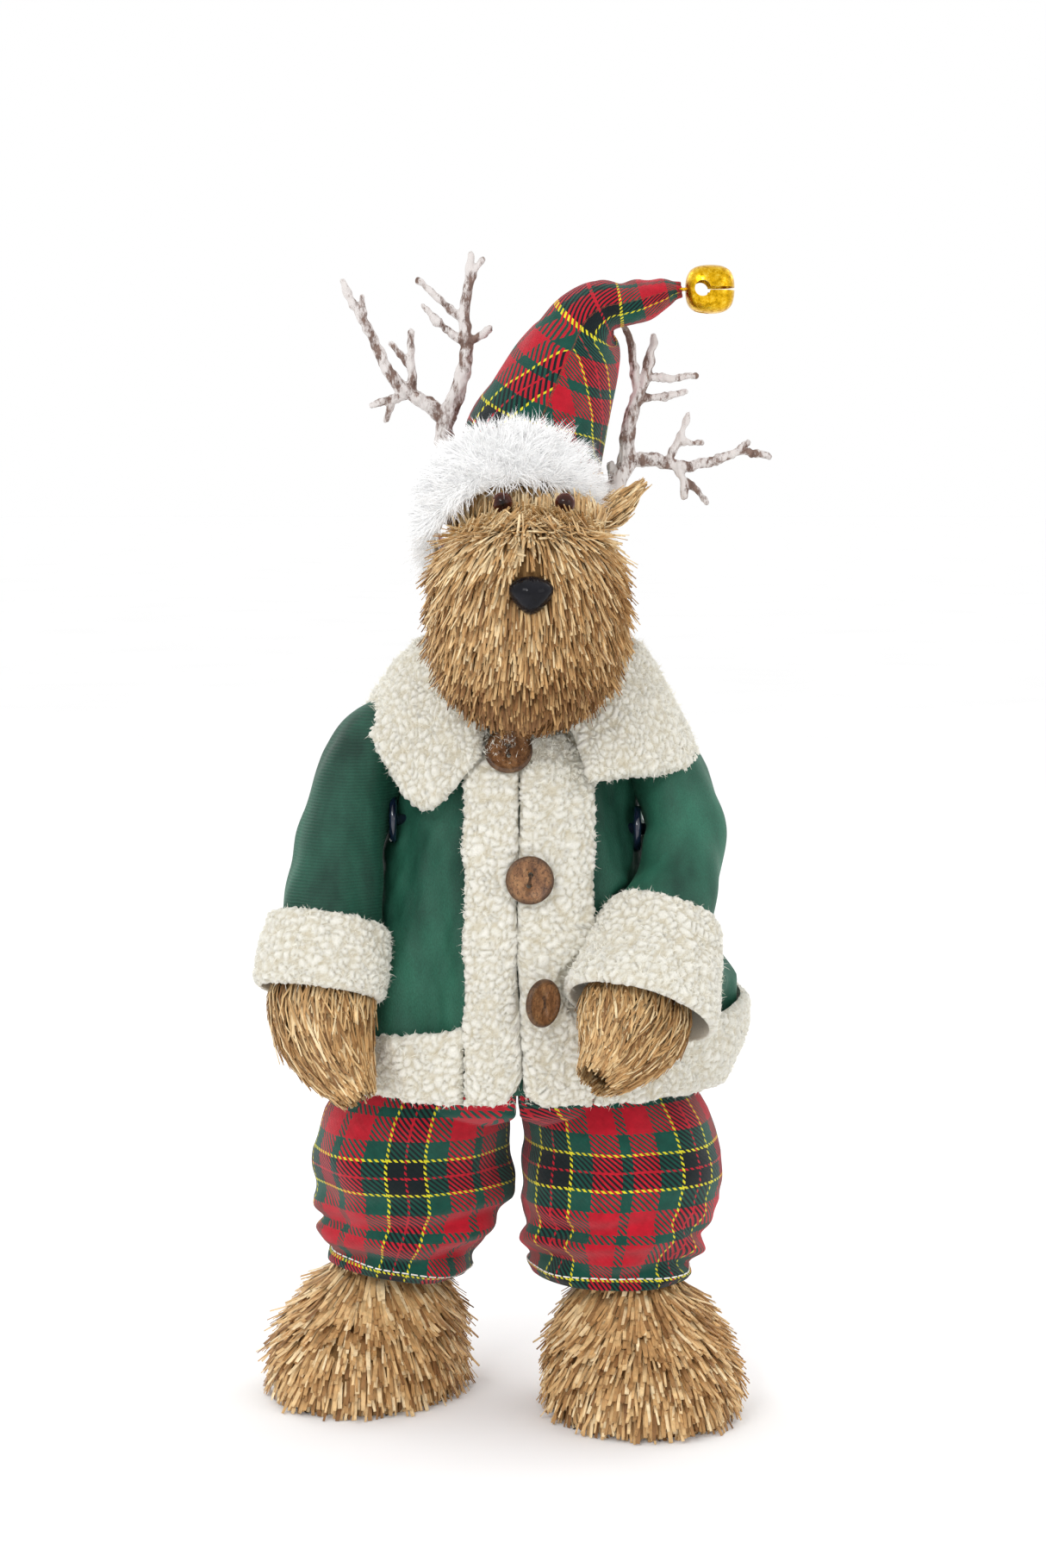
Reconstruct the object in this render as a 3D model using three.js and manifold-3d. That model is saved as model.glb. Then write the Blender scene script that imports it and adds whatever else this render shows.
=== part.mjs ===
// A dressed straw reindeer figure, standing: straw head, hands and feet on a stuffed body,
// velvet coat with sherpa trim, tartan trousers, tartan hat with a fur brim and a jingle bell.
// Millimetres, +Z up. The figure faces -Y, so its own right side is at -X.
import * as THREE from "three";
import { mergeVertices } from "three/addons/utils/BufferGeometryUtils.js";
import Module from "manifold-3d";

const wasm = await Module();
wasm.setup();

// Driving dimensions
const GAP = 0.4; // between pieces that touch
const SMALLEST_STEP = 0.22; // finer steps in a surface are smoothed away
const FINE_STEP = 0.03; // the same for small hard pieces
const DEPTH_CENTRE = -21.3; // middle of the figure's depth, moved onto the origin
const SIDE_CENTRE = 0.42; // middle of the figure's width, moved onto the origin
const VELVET = 2.5; // coat cloth with its lining
const SHERPA = 6;
const BAND_LIFT = 2.4; // between the coat's cloth and the underside of a band
const TORSO_ROOM = 4; // between the stuffed body and the coat
const TORSO_BOTTOM = 166;
const TORSO_TOP = 297;
const TWEED = 2; // trouser cloth
const HEM_BOTTOM = 145;
const SOLE_BOARD = 2.5;
const DOWEL_RADIUS = 5;
const NECK_RADIUS = 6;
const BUTTON_RADIUS = 10;
const BUTTON_THICKNESS = 3;
const BUTTON_HOLE = 1.1;
const DISC_RADIUS = 10;
const DISC_THICKNESS = 3;
const STEM_RADIUS = 2.5;
const STEM_CLEARANCE = 0.6;
const BELL_RADIUS = 10.5;
const BELL_WALL = 1;
const BELL_HOLE = 3.3;
const CLAPPER_RADIUS = 2.6;
const BRIM_TILT = THREE.MathUtils.degToRad(34);
const SHOULDER = { right: [-71.5, -28, 260], left: [71.5, -28, 256] };
const BELL_CENTRE = [82.5, -5, 483.5];
const HAT_BEND = [38.5, -5, 475];
const BEND_BALL = 12.8;

const vec = (p) => new THREE.Vector3(p[0], p[1], p[2]);
const Y_AXIS = new THREE.Vector3(0, 1, 0);

// ---- solids ----
function toSolid(geometry) {
  const bare = geometry.clone();
  bare.deleteAttribute("normal");
  bare.deleteAttribute("uv");
  const merged = mergeVertices(bare, 1e-4);
  return new wasm.Manifold(
    new wasm.Mesh({
      numProp: 3,
      vertProperties: merged.attributes.position.array,
      triVerts: new Uint32Array(merged.index.array),
    }),
  );
}

function toGeometry(solid, smallestStep) {
  const mesh = largest(solid.simplify(smallestStep)).getMesh();
  const geometry = new THREE.BufferGeometry();
  geometry.setAttribute("position", new THREE.BufferAttribute(new Float32Array(mesh.vertProperties), 3));
  geometry.setIndex(new THREE.BufferAttribute(new Uint32Array(mesh.triVerts), 1));
  geometry.computeVertexNormals();
  return geometry;
}

const largest = (solid) => solid.decompose().sort((a, b) => b.volume() - a.volume())[0];
const cut = (solid, ...tools) => largest(tools.reduce((left, tool) => left.subtract(tool), solid));
const join = (...solids) => solids.reduce((all, solid) => all.add(solid));

// A form is a path with an elliptical section. Stations: [x, y, z, half width, half depth].
function makeForm(stations, { upright = false, push = (p) => p } = {}) {
  const path = new THREE.CatmullRomCurve3(stations.map(vec), false, "centripetal");
  const last = stations.length - 1;
  function point(s, angle, offset = 0) {
    const place = THREE.MathUtils.clamp(s, 0, 1) * last;
    const index = Math.min(Math.floor(place), last - 1);
    const f = place - index;
    const centre = path.getPoint(place / last);
    const tangent = upright ? new THREE.Vector3(0, 0, 1) : path.getTangent(place / last);
    const across = Y_AXIS.clone().cross(tangent).normalize();
    const deep = tangent.clone().cross(across).normalize();
    const wide = THREE.MathUtils.lerp(stations[index][3], stations[index + 1][3], f) + offset;
    const depth = THREE.MathUtils.lerp(stations[index][4], stations[index + 1][4], f) + offset;
    centre.addScaledVector(across, wide * Math.cos(angle)).addScaledVector(deep, depth * Math.sin(angle));
    return push(centre, offset);
  }
  return { point, last };
}

// Closed skin between two surfaces; each is (u, v) => Vector3, with u and v from 0 to 1.
function slab(outer, inner, columns, rows, wrap) {
  const points = [];
  const faces = [];
  const across = wrap ? columns : columns + 1;
  for (const surface of [outer, inner])
    for (let row = 0; row <= rows; row += 1)
      for (let column = 0; column < across; column += 1) points.push(surface(column / columns, row / rows));
  const at = (side, row, column) => side * across * (rows + 1) + row * across + (column % across);
  const quad = (a, b, c, d) => faces.push(a, b, c, a, c, d);
  for (let row = 0; row < rows; row += 1)
    for (let column = 0; column < columns; column += 1) {
      quad(at(0, row, column), at(0, row, column + 1), at(0, row + 1, column + 1), at(0, row + 1, column));
      quad(at(1, row, column), at(1, row + 1, column), at(1, row + 1, column + 1), at(1, row, column + 1));
    }
  for (let column = 0; column < columns; column += 1) {
    quad(at(1, 0, column), at(1, 0, column + 1), at(0, 0, column + 1), at(0, 0, column));
    quad(at(0, rows, column), at(0, rows, column + 1), at(1, rows, column + 1), at(1, rows, column));
  }
  if (!wrap)
    for (let row = 0; row < rows; row += 1) {
      quad(at(1, row, 0), at(0, row, 0), at(0, row + 1, 0), at(1, row + 1, 0));
      quad(at(0, row, columns), at(1, row, columns), at(1, row + 1, columns), at(0, row + 1, columns));
    }
  return pointsToSolid(points, faces);
}

function pointsToSolid(points, faces) {
  const geometry = new THREE.BufferGeometry().setFromPoints(points);
  geometry.setIndex(faces);
  return toSolid(geometry);
}

// The form filled, from station parameter start to end, grown by offset.
function fill(form, { offset = 0, start = 0, end = 1, columns = 20, rows = form.last } = {}) {
  const points = [];
  const faces = [];
  for (let row = 0; row <= rows; row += 1)
    for (let column = 0; column < columns; column += 1) {
      const s = THREE.MathUtils.lerp(start, end, row / rows);
      points.push(form.point(s, (column / columns) * 2 * Math.PI, offset));
    }
  const middle = (row) => {
    const sum = new THREE.Vector3();
    for (let column = 0; column < columns; column += 1) sum.add(points[row * columns + column]);
    return sum.divideScalar(columns);
  };
  points.push(middle(0), middle(rows));
  const [low, high] = [points.length - 2, points.length - 1];
  for (let column = 0; column < columns; column += 1) {
    const next = (column + 1) % columns;
    for (let row = 0; row < rows; row += 1) {
      const [a, b] = [row * columns + column, row * columns + next];
      faces.push(a, b, b + columns, a, b + columns, a + columns);
    }
    faces.push(low, next, column, high, rows * columns + column, rows * columns + next);
  }
  return pointsToSolid(points, faces);
}

function place(geometry, position = [0, 0, 0], rotation = [0, 0, 0], scale = [1, 1, 1]) {
  const turn = new THREE.Quaternion().setFromEuler(new THREE.Euler(...rotation));
  return toSolid(geometry.applyMatrix4(new THREE.Matrix4().compose(vec(position), turn, vec(scale))));
}

const ellipsoid = (centre, radii, columns = 16, rows = 10) =>
  place(new THREE.SphereGeometry(1, columns, rows), centre, [Math.PI / 2, 0, 0], [radii[0], radii[2], radii[1]]);

// A straight round bar between two points.
function bar(from, to, radius, sides = 12, endRadius = radius) {
  const [a, b] = [vec(from), vec(to)];
  const geometry = new THREE.CylinderGeometry(endRadius, radius, a.distanceTo(b), sides);
  const turn = new THREE.Quaternion().setFromUnitVectors(Y_AXIS, b.clone().sub(a).normalize());
  const middle = a.clone().add(b).multiplyScalar(0.5);
  return toSolid(geometry.applyMatrix4(new THREE.Matrix4().compose(middle, turn, vec([1, 1, 1]))));
}

// ---- body and coat ----
// The arms press the coat in: a point closer to an arm's line than its radius is moved away from it.
const ARM_LINES = {
  right: { from: SHOULDER.right, to: [-82, -54, 186], radius: 22 },
  left: { from: SHOULDER.left, to: [51, -74, 186], radius: 22 },
};
const HAND_LINES = {
  right: { from: [-80, -58, 184], to: [-66, -68, 150], radius: 19 },
  left: { from: [49, -81, 182], to: [36, -101, 164], radius: 19 },
};
// Cuffs and hands also leave room for the sherpa bands that lie on the coat.
const CUFF_LINES = {
  right: { from: [-79, -47, 212], to: [-82, -54, 188], radius: 26 },
  left: { from: [62, -54, 220], to: [52, -77, 188], radius: 28 },
};
const MOUTH_LINE = { from: [36, -81, 196], to: [52, -81, 184], radius: 20 };
const PRESS_CLEARANCE = 1.8;
const PRESSERS = [
  ...Object.values(ARM_LINES).map((line) => ({ ...line, room: PRESS_CLEARANCE })),
  ...Object.values(CUFF_LINES).map((line) => ({ ...line, room: PRESS_CLEARANCE })),
  ...[MOUTH_LINE, ...Object.values(HAND_LINES)].map((line) => ({ ...line, room: PRESS_CLEARANCE + SHERPA + GAP })),
];

function pressIn(point, offset) {
  for (const { from, to, radius, room } of [...PRESSERS, ...PRESSERS]) {
    const line = new THREE.Line3(vec(from), vec(to));
    const nearest = line.closestPointToPoint(point, true, new THREE.Vector3());
    const away = point.clone().sub(nearest);
    const reach = radius + room - offset;
    if (away.length() < reach) {
      away.z = 0;
      away.add(new THREE.Vector3(-nearest.x, -nearest.y, 0).normalize().multiplyScalar(3)).setLength(0.25);
      while (point.distanceTo(nearest) < reach) point.add(away);
    }
  }
  return point;
}

const coat = makeForm(
  [
    [2, -3, 149, 85, 63],
    [5, -3, 166, 89, 63],
    [7, -4, 190, 88, 61],
    [4, -4, 215, 72, 58],
    [1, -5, 240, 57, 54.5],
    [0, -5, 262, 49, 51],
    [1, -4, 285, 49, 46],
    [4, -2, 303, 40, 38],
  ],
  { upright: true, push: pressIn },
);
const COAT_COLUMNS = 26;
const COAT_ROWS = 10;

// The coat's parameter at a height, and the angle at which its front has a given x there.
function coatParameter(z) {
  let [low, high] = [0, 1];
  for (let step = 0; step < 24; step += 1) {
    const middle = (low + high) / 2;
    if (coat.point(middle, Math.PI / 2).z < z) low = middle;
    else high = middle;
  }
  return low;
}

function frontAngle(z, x) {
  const s = coatParameter(z);
  let [low, high] = [-Math.PI, 0];
  for (let step = 0; step < 24; step += 1) {
    const middle = (low + high) / 2;
    if (coat.point(s, middle).x < x) low = middle;
    else high = middle;
  }
  return low;
}

const coatAt = (z, angle, offset) => {
  const point = coat.point(coatParameter(Math.max(z, 149.001)), angle, offset);
  point.z = z;
  return point;
};

const ring = (form, offset) => (u, v) => form.point(v, u * 2 * Math.PI, offset);
const stemHole = (side) => {
  const [x, y, z] = SHOULDER[side];
  return bar([Math.sign(x) * 20, y, z], [Math.sign(x) * 66, y, z], STEM_RADIUS + STEM_CLEARANCE, 16);
};
const sides = ["right", "left"];

const shoulderStem = (side) => {
  const [x, y, z] = SHOULDER[side];
  const out = Math.sign(x);
  const disc = bar([out * 50, y, z], [out * (50 + DISC_THICKNESS), y, z], DISC_RADIUS, 20);
  return join(disc, bar([out * 26, y, z], [out * 64, y, z], STEM_RADIUS, 12));
};
const shoulderWasher = (side, grow = 0) => {
  const [x, y, z] = SHOULDER[side];
  const out = Math.sign(x);
  return bar([out * (28 - grow), y, z], [out * (30.5 + grow), y, z], DISC_RADIUS - 1 + grow, 16);
};

const NECK = [5, -2];
const neckDowel = (grow) => bar([...NECK, 262 - grow], [...NECK, 352 + grow], NECK_RADIUS + grow, 14);
const LEG_LINES = {
  right: { from: [-57, 22, 30], to: [-38, 2, 186] },
  left: { from: [52, -2, 30], to: [38, 0, 186] },
};
const legDowel = (side, grow) => {
  const line = new THREE.Line3(vec(LEG_LINES[side].from), vec(LEG_LINES[side].to));
  const end = (t) => line.at(t, new THREE.Vector3()).toArray();
  const spare = grow / line.distance();
  return bar(end(-spare), end(1 + spare), DOWEL_RADIUS + grow, 12);
};

const coatBody = () =>
  cut(
    slab(ring(coat, 0), ring(coat, -VELVET), COAT_COLUMNS, COAT_ROWS, true),
    ...sides.map((side) => fill(cuffForms[side], { offset: 1, columns: 20, rows: 3 })),
    ...sides.map(stemHole),
    ...sides.map((side) => {
      const [x, y, z] = SHOULDER[side];
      return bar([Math.sign(x) * 49.4, y, z], [Math.sign(x) * 60, y, z], DISC_RADIUS + 0.8, 20);
    }),
  );
const torso = () =>
  cut(
    fill(coat, {
      offset: -VELVET - TORSO_ROOM,
      start: coatParameter(TORSO_BOTTOM),
      end: coatParameter(TORSO_TOP),
      columns: 20,
      rows: 7,
    }),
    ...sides.map(stemHole),
    ...sides.map((side) => shoulderWasher(side, GAP)),
    ...sides.map((side) => legDowel(side, GAP)),
    neckDowel(GAP),
  );

// Room for a cuff and a hand at rest, and for the cuff as the arm starts to rise.
const SWINGS = [0, -5, -10];
function armRooms(side) {
  const hinge = SHOULDER[side];
  const room = fill(cuffForms[side], { offset: 1, columns: 20, rows: 3 });
  const centred = room.translate(hinge.map((x) => -x));
  const swung = SWINGS.map((degrees) => centred.rotate([degrees, 0, 0]).translate(hinge));
  return [...swung, fill(handForms[side], { offset: 1, columns: 14, rows: 6 })];
}

// Sherpa bands: strips of the coat's own surface, lifted off it.
function band(left, right, bottom, top, columns, rows) {
  const surface = (lift) => (u, v) => {
    const middle = THREE.MathUtils.lerp(bottom(0.5), top(0.5), v);
    const angle = THREE.MathUtils.lerp(left(middle), right(middle), u);
    return coatAt(THREE.MathUtils.lerp(bottom(u), top(u), v), angle, lift);
  };
  return cut(slab(surface(GAP + SHERPA), surface(BAND_LIFT), columns, rows, false), ...sides.flatMap(armRooms));
}
const SPLIT_X = 1.6;
const BAND_RIGHT_X = -20;
const BAND_LEFT_X = 31;
const CORNER = 12;
const roundCorner = (distance) => {
  const d = Math.min(distance, CORNER);
  return HEM_BOTTOM + CORNER - Math.sqrt(CORNER ** 2 - (CORNER - d) ** 2);
};
const frontBands = {
  right: () =>
    band(
      (z) => frontAngle(z, BAND_RIGHT_X),
      (z) => frontAngle(z, SPLIT_X - GAP / 2),
      (u) => roundCorner((1 - u) * (SPLIT_X - BAND_RIGHT_X)),
      () => 299,
      5,
      11,
    ),
  left: () =>
    band(
      (z) => frontAngle(z, SPLIT_X + GAP / 2),
      (z) => frontAngle(z, BAND_LEFT_X),
      (u) => roundCorner(u * (BAND_LEFT_X - SPLIT_X)),
      () => 299,
      5,
      11,
    ),
};
const hemBand = () =>
  band(
    (z) => frontAngle(z, BAND_LEFT_X + 2 * GAP),
    (z) => frontAngle(z, BAND_RIGHT_X - 2 * GAP) + 2 * Math.PI,
    () => HEM_BOTTOM,
    (u) => 172 + 12 * Math.max(0, Math.cos((u * 1.13 - 0.07) * 2 * Math.PI - Math.PI / 2)),
    32,
    3,
  );

// ---- trousers and legs ----
const waist = makeForm(
  [
    [1, 0, 126, 70, 36],
    [1, 0, 134, 79, 42],
    [1, 0, 148, 78, 50],
    [1, 0, 164, 74, 50],
  ],
  { upright: true },
);
const legs = {
  right: makeForm(
    [
      [-54, 17, 57, 29.5, 32],
      [-50, 15, 70, 35, 36],
      [-44.8, 10, 90, 43.2, 40],
      [-46, 6, 112, 43.8, 42],
      [-43, 3, 130, 41, 43],
      [-38, 2, 145, 36, 42],
    ],
    { upright: true },
  ),
  left: makeForm(
    [
      [41.5, -2, 58, 33.5, 34],
      [42.5, -2, 72, 38, 37],
      [44.8, -2, 90, 43.2, 40],
      [46.5, -2, 112, 43.8, 42],
      [43.5, -1, 130, 41, 43],
      [40, 0, 145, 36, 42],
    ],
    { upright: true },
  ),
};
const trousers = () => {
  const skin = join(fill(waist, { columns: 20 }), ...sides.map((side) => fill(legs[side], { columns: 16 })));
  const inside = [waist, ...sides.map((side) => legs[side])].map((form) =>
    fill(form, { offset: -TWEED, columns: form === waist ? 20 : 16 }),
  );
  const mouths = sides.map((side) => {
    const centre = legs[side].point(0, 0).add(legs[side].point(0, Math.PI)).multiplyScalar(0.5);
    const size = side === "right" ? [26.6, 29.6] : [31, 31.6];
    return place(new THREE.CylinderGeometry(1, 1, 1, 24), centre.toArray(), [Math.PI / 2, 0, 0], [size[0], 12, size[1]]);
  });
  const top = place(new THREE.CylinderGeometry(1, 1, 1, 24), [1, 0, 164], [Math.PI / 2, 0, 0], [71.8, 12, 47.8]);
  return cut(skin, ...inside, ...mouths, top);
};
const legStuffing = (side) =>
  cut(fill(legs[side], { offset: -TWEED - GAP - 0.8, start: 0.42, end: 0.8, columns: 18 }), legDowel(side, GAP));

// ---- feet ----
const FEET = {
  right: { centre: [-64.5, 18], turn: THREE.MathUtils.degToRad(-25) },
  left: { centre: [54.5, -13], turn: THREE.MathUtils.degToRad(8) },
};
const FOOT_STATIONS = [
  [0, -2, SOLE_BOARD + GAP, 36.5, 43],
  [0, -2, 12, 40, 47],
  [0, -1, 24, 39.5, 46],
  [1, 2, 36, 35, 41],
  [2, 5, 48, 27, 29],
  [4, 5, 56, 20, 20],
  [5, 6, 74, 17, 18],
];
function footForm(side, stations) {
  const { centre, turn } = FEET[side];
  const [c, s] = [Math.cos(turn), Math.sin(turn)];
  const inner = side === "right" ? 1 : -1;
  const form = makeForm(
    stations.map(([x, y, z, a, b]) => [x * inner, y, z, a, b]),
    { upright: true },
  );
  const point = (...where) => {
    const p = form.point(...where);
    return new THREE.Vector3(centre[0] + c * p.x - s * p.y, centre[1] + s * p.x + c * p.y, p.z);
  };
  return { point, last: form.last };
}
const foot = (side) => cut(fill(footForm(side, FOOT_STATIONS), { columns: 20, rows: 8 }), legDowel(side, GAP));
const SOLE_STATIONS = [
  [0, -2, 0, 35, 41.5],
  [0, -2, SOLE_BOARD, 35, 41.5],
];
const sole = (side) => fill(footForm(side, SOLE_STATIONS), { columns: 28 });

// ---- head ----
const muzzleForm = makeForm(
  [
    [5, -68, 300, 15, 12],
    [5, -65, 306, 26, 22],
    [5, -57, 318, 36.5, 35.5],
    [5.3, -53, 335, 42, 41.5],
    [5.3, -52, 352, 43.4, 43],
    [5.5, -51, 370, 42, 42],
    [6, -50, 384, 36.5, 37],
    [6, -48, 392, 24, 26],
  ],
  { upright: true },
);
const headOuter = (offset, columns = 16) =>
  join(
    fill(muzzleForm, { offset, columns, rows: 8 }),
    ellipsoid([5, 0, 378], [35 + offset, 34 + offset, 50 + offset], columns, 10),
  );
const headCore = (grow) => ellipsoid([5, -18, 358], [26 + grow, 40 + grow, 38 + grow], 14, 8);
const EYES = { right: [-4.5, -47.5, 394.5], left: [20.4, -47.5, 393.5] };
const EYE_TILT = THREE.MathUtils.degToRad(25);
const EYE_RADIUS = 4.2;
function eye(side, grow) {
  const profile = [[0, -9 - grow]];
  profile.push([1.2 + grow, -9 - grow], [1.2 + grow, -3 - grow]);
  const steps = 6;
  for (let step = 0; step <= steps; step += 1) {
    const angle = THREE.MathUtils.lerp(-0.28, 0.5, step / steps) * Math.PI;
    profile.push([(EYE_RADIUS + grow) * Math.cos(angle), (EYE_RADIUS + grow) * Math.sin(angle)]);
  }
  profile[profile.length - 1][0] = 0;
  const geometry = new THREE.LatheGeometry(
    profile.map(([r, h]) => new THREE.Vector2(r, h)),
    10,
  );
  return place(geometry, EYES[side], [Math.PI - EYE_TILT, 0, 0]);
}
const NOSE = [6.5, -93.5, 358];
const noseForm = (grow) => {
  const form = makeForm(
    [
      [NOSE[0], NOSE[1], NOSE[2] - 7.5, 2.6, 3],
      [NOSE[0], NOSE[1], NOSE[2] - 4, 5.6, 5],
      [NOSE[0], NOSE[1], NOSE[2], 8, 6.4],
      [NOSE[0], NOSE[1], NOSE[2] + 3.6, 8.6, 6.2],
      [NOSE[0], NOSE[1], NOSE[2] + 6.6, 5.4, 3.8],
    ],
    { upright: true },
  );
  return fill(form, { offset: grow, columns: 18, rows: 8 });
};
const EARS = {
  right: [
    [-24, -12, 382, 4, 3],
    [-33, -12, 386, 6, 3.4],
    [-38, -11, 389, 5, 2.8],
    [-44, -10, 392, 1.5, 1.2],
  ],
  left: [
    [33, -14, 381, 5, 3.5],
    [44, -15, 388, 8, 4.4],
    [52, -13, 395, 6, 3.4],
    [58, -11, 400.5, 2.4, 1.6],
  ],
};
const ear = (side, grow) => fill(makeForm(EARS[side]), { offset: grow, columns: 10, rows: 6 });

// ---- antlers ----
// Each twig is a list of [x, z] points with the radius at its start and its end.
const ANTLER_Y = 14;
const ANTLERS = {
  right: [
    { radii: [3.6, 3.6], path: [[-10, 383], [-24, 398], [-28, 407], [-31, 425], [-29, 431]] },
    { radii: [3.4, 1.2], path: [[-30, 429], [-24, 444], [-21, 458], [-22, 474], [-20, 489], [-19, 500]] },
    { radii: [1.7, 0.9], path: [[-22, 471], [-31, 479], [-42, 489]] },
    { radii: [1.7, 0.9], path: [[-21, 461], [-32, 470], [-40, 478]] },
    { radii: [1.9, 1.1], path: [[-22, 462], [-15, 465], [-10, 468]] },
    { radii: [1.5, 0.9], path: [[-20, 488], [-14, 498]] },
    {
      radii: [3.4, 1.1],
      path: [[-30, 429], [-38, 436], [-48, 442], [-55, 450], [-62, 465], [-72, 483], [-74, 489]],
    },
    { radii: [1.8, 1.2], path: [[-44, 440], [-45, 452], [-45, 467]] },
    { radii: [1.6, 0.9], path: [[-45, 452], [-54, 462]] },
    { radii: [1.5, 0.9], path: [[-66, 472], [-66, 482]] },
    { radii: [1.9, 1.1], path: [[-45, 440], [-56, 437], [-63, 435]] },
    { radii: [1.6, 1.1], path: [[-53, 438], [-56, 428]] },
  ],
  left: [
    { radii: [3.6, 3.6], path: [[20, 380], [33, 389], [42, 399], [50, 414]] },
    { radii: [3.4, 1.3], path: [[48, 411], [49, 426], [52, 437], [56, 447], [58, 456], [60, 465]] },
    { radii: [1.8, 0.9], path: [[53, 439], [51, 453], [50, 462], [46, 470]] },
    { radii: [1.8, 1], path: [[56, 447], [67, 447], [78, 448]] },
    { radii: [1.7, 1], path: [[53, 438], [64, 439], [74, 441]] },
    { radii: [2.2, 1.5], path: [[43, 401], [41, 411]] },
    { radii: [3, 1.1], path: [[49, 411], [58, 412], [67, 410], [74, 409], [88, 412], [97, 415], [110, 413.5]] },
    { radii: [1.5, 0.9], path: [[93, 413.5], [101, 420]] },
    { radii: [1.8, 1], path: [[65, 410], [71, 421], [75, 432]] },
    { radii: [1.4, 0.9], path: [[70, 419.5], [81, 419]] },
    { radii: [1.9, 1], path: [[69, 410], [73, 402], [73, 395]] },
    { radii: [1.6, 1], path: [[72, 404], [78, 399], [83, 393]] },
  ],
};
// The stem's foot turns forward into the head below this height.
const antlerDepth = (z) => ANTLER_Y - 6 * THREE.MathUtils.smoothstep(410 - z, 0, 28);
function twig({ radii, path }, grow) {
  const stations = path.map(([x, z], index) => {
    const radius = THREE.MathUtils.lerp(radii[0], radii[1], index / (path.length - 1)) + grow;
    return [x, antlerDepth(z), z, radius, radius];
  });
  return fill(makeForm(stations), { columns: 5, rows: path.length - 1 });
}
const antler = (side, grow) => join(...ANTLERS[side].map((piece) => twig(piece, grow)));
const LOW_TWIGS = 412;
const antlerStem = (side, grow) =>
  join(...ANTLERS[side].filter(({ path }) => path[0][1] < LOW_TWIGS).map((piece) => twig(piece, grow)));

// ---- hat ----
const HAT_CENTRE = [4.5, -3, 387];
const hatFrom = (mouth) =>
  makeForm([
    mouth,
    [6, 4, 400, 36.5, 38],
    [11, 7, 418, 33, 33],
    [18, 5, 440, 27.5, 27],
    [25.5, 0, 460, 21, 21],
    [33, -4, 471.5, 15, 15],
  ]);
const hatForm = hatFrom([4.5, -3, 386, 36.8, 39]);
const hatRoom = hatFrom([4.3, -4.2, 383.6, 37, 39.2]);
const tipForm = makeForm([
  [43, -5, 476.3, 8.8, 9],
  [49, -5, 478, 9, 9],
  [57.5, -5, 480, 7.8, 8],
  [63, -5, 482, 6.2, 6.2],
  [67.2, -5, 483, 4.8, 4.8],
]);
const bendBall = (grow) => ellipsoid(HAT_BEND, Array(3).fill(BEND_BALL + grow), 16, 10);
const brimSolid = () => {
  const geometry = new THREE.TorusGeometry(1, 0.13, 6, 20);
  const swell = new THREE.Matrix4().makeScale(43.5, 46, 14 / 0.13);
  const lean = new THREE.Matrix4().makeRotationX(-BRIM_TILT);
  const roll = new THREE.Matrix4().makeRotationY(THREE.MathUtils.degToRad(-4));
  const shift = new THREE.Matrix4().makeTranslation(...HAT_CENTRE);
  return toSolid(geometry.applyMatrix4(shift.multiply(roll).multiply(lean).multiply(swell)));
};

// ---- bell ----
const bellSphere = (radius) => ellipsoid(BELL_CENTRE, [radius, radius, radius], 16, 10);
const bellShell = () => {
  const [x, y, z] = BELL_CENTRE;
  const long = 12;
  const slot = (size) => place(new THREE.BoxGeometry(...size), [x + long / 2 - 3, y, z]);
  return cut(
    bellSphere(BELL_RADIUS),
    bellSphere(BELL_RADIUS - BELL_WALL),
    slot([long, 30, 1.5]),
    slot([long, 1.5, 30]),
    bar([x - 3.5, y - 20, z], [x - 3.5, y + 20, z], BELL_HOLE, 10),
    bar([x - 3.5, y, z - 20], [x - 3.5, y, z + 20], BELL_HOLE, 10),
  );
};
const bellLoop = () => {
  const [x, y, z] = BELL_CENTRE;
  const geometry = new THREE.TorusGeometry(2.4, 0.6, 5, 10);
  return cut(place(geometry, [x - BELL_RADIUS - 1.4, y, z]), bellSphere(BELL_RADIUS + GAP));
};
const clapper = () => {
  const [x, y, z] = BELL_CENTRE;
  const drop = BELL_RADIUS - BELL_WALL - CLAPPER_RADIUS - 0.5;
  return ellipsoid([x, y, z - drop], [CLAPPER_RADIUS, CLAPPER_RADIUS, CLAPPER_RADIUS], 10, 6);
};

// ---- arms ----
// Above the ball at the shoulder the sleeve is round about the joint's own axis, so it can turn.
const SHOULDER_BALL = { right: [17.5, 21, 21], left: [17.5, 20, 20] };
const SLEEVE_WALL = 1.8;
const sleeveForms = {
  right: makeForm([
    [-71, -25.5, 281, 4, 4],
    [-71.3, -26.5, 276, 11, 13],
    [-71.5, -27.5, 267, 16, 19.5],
    [-71.6, -28.5, 257, 17.5, 20.5],
    [-75, -36, 238, 19.5, 21],
    [-78.5, -44, 215, 22, 21],
    [-80, -48, 202, 22.5, 21],
  ]),
  left: makeForm([
    [71.5, -25, 276, 4, 4],
    [71.5, -26, 271, 11, 12.5],
    [71.5, -27, 262, 16, 18.5],
    [71.5, -29.5, 251, 16.8, 19.5],
    [68, -40, 236, 17.5, 19.5],
    [60.5, -54, 216, 21.5, 20],
    [56.5, -62, 204, 23, 20],
  ]),
};
const cuffForms = {
  right: makeForm([
    [-77.8, -44, 219, 26, 24],
    [-80, -49, 205, 27.5, 24],
    [-82, -54, 190, 27.5, 23],
  ]),
  left: makeForm([
    [62.5, -52, 223, 24, 23],
    [58, -61, 208, 28, 24],
    [51, -77, 186, 33, 25],
  ]),
};
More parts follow.
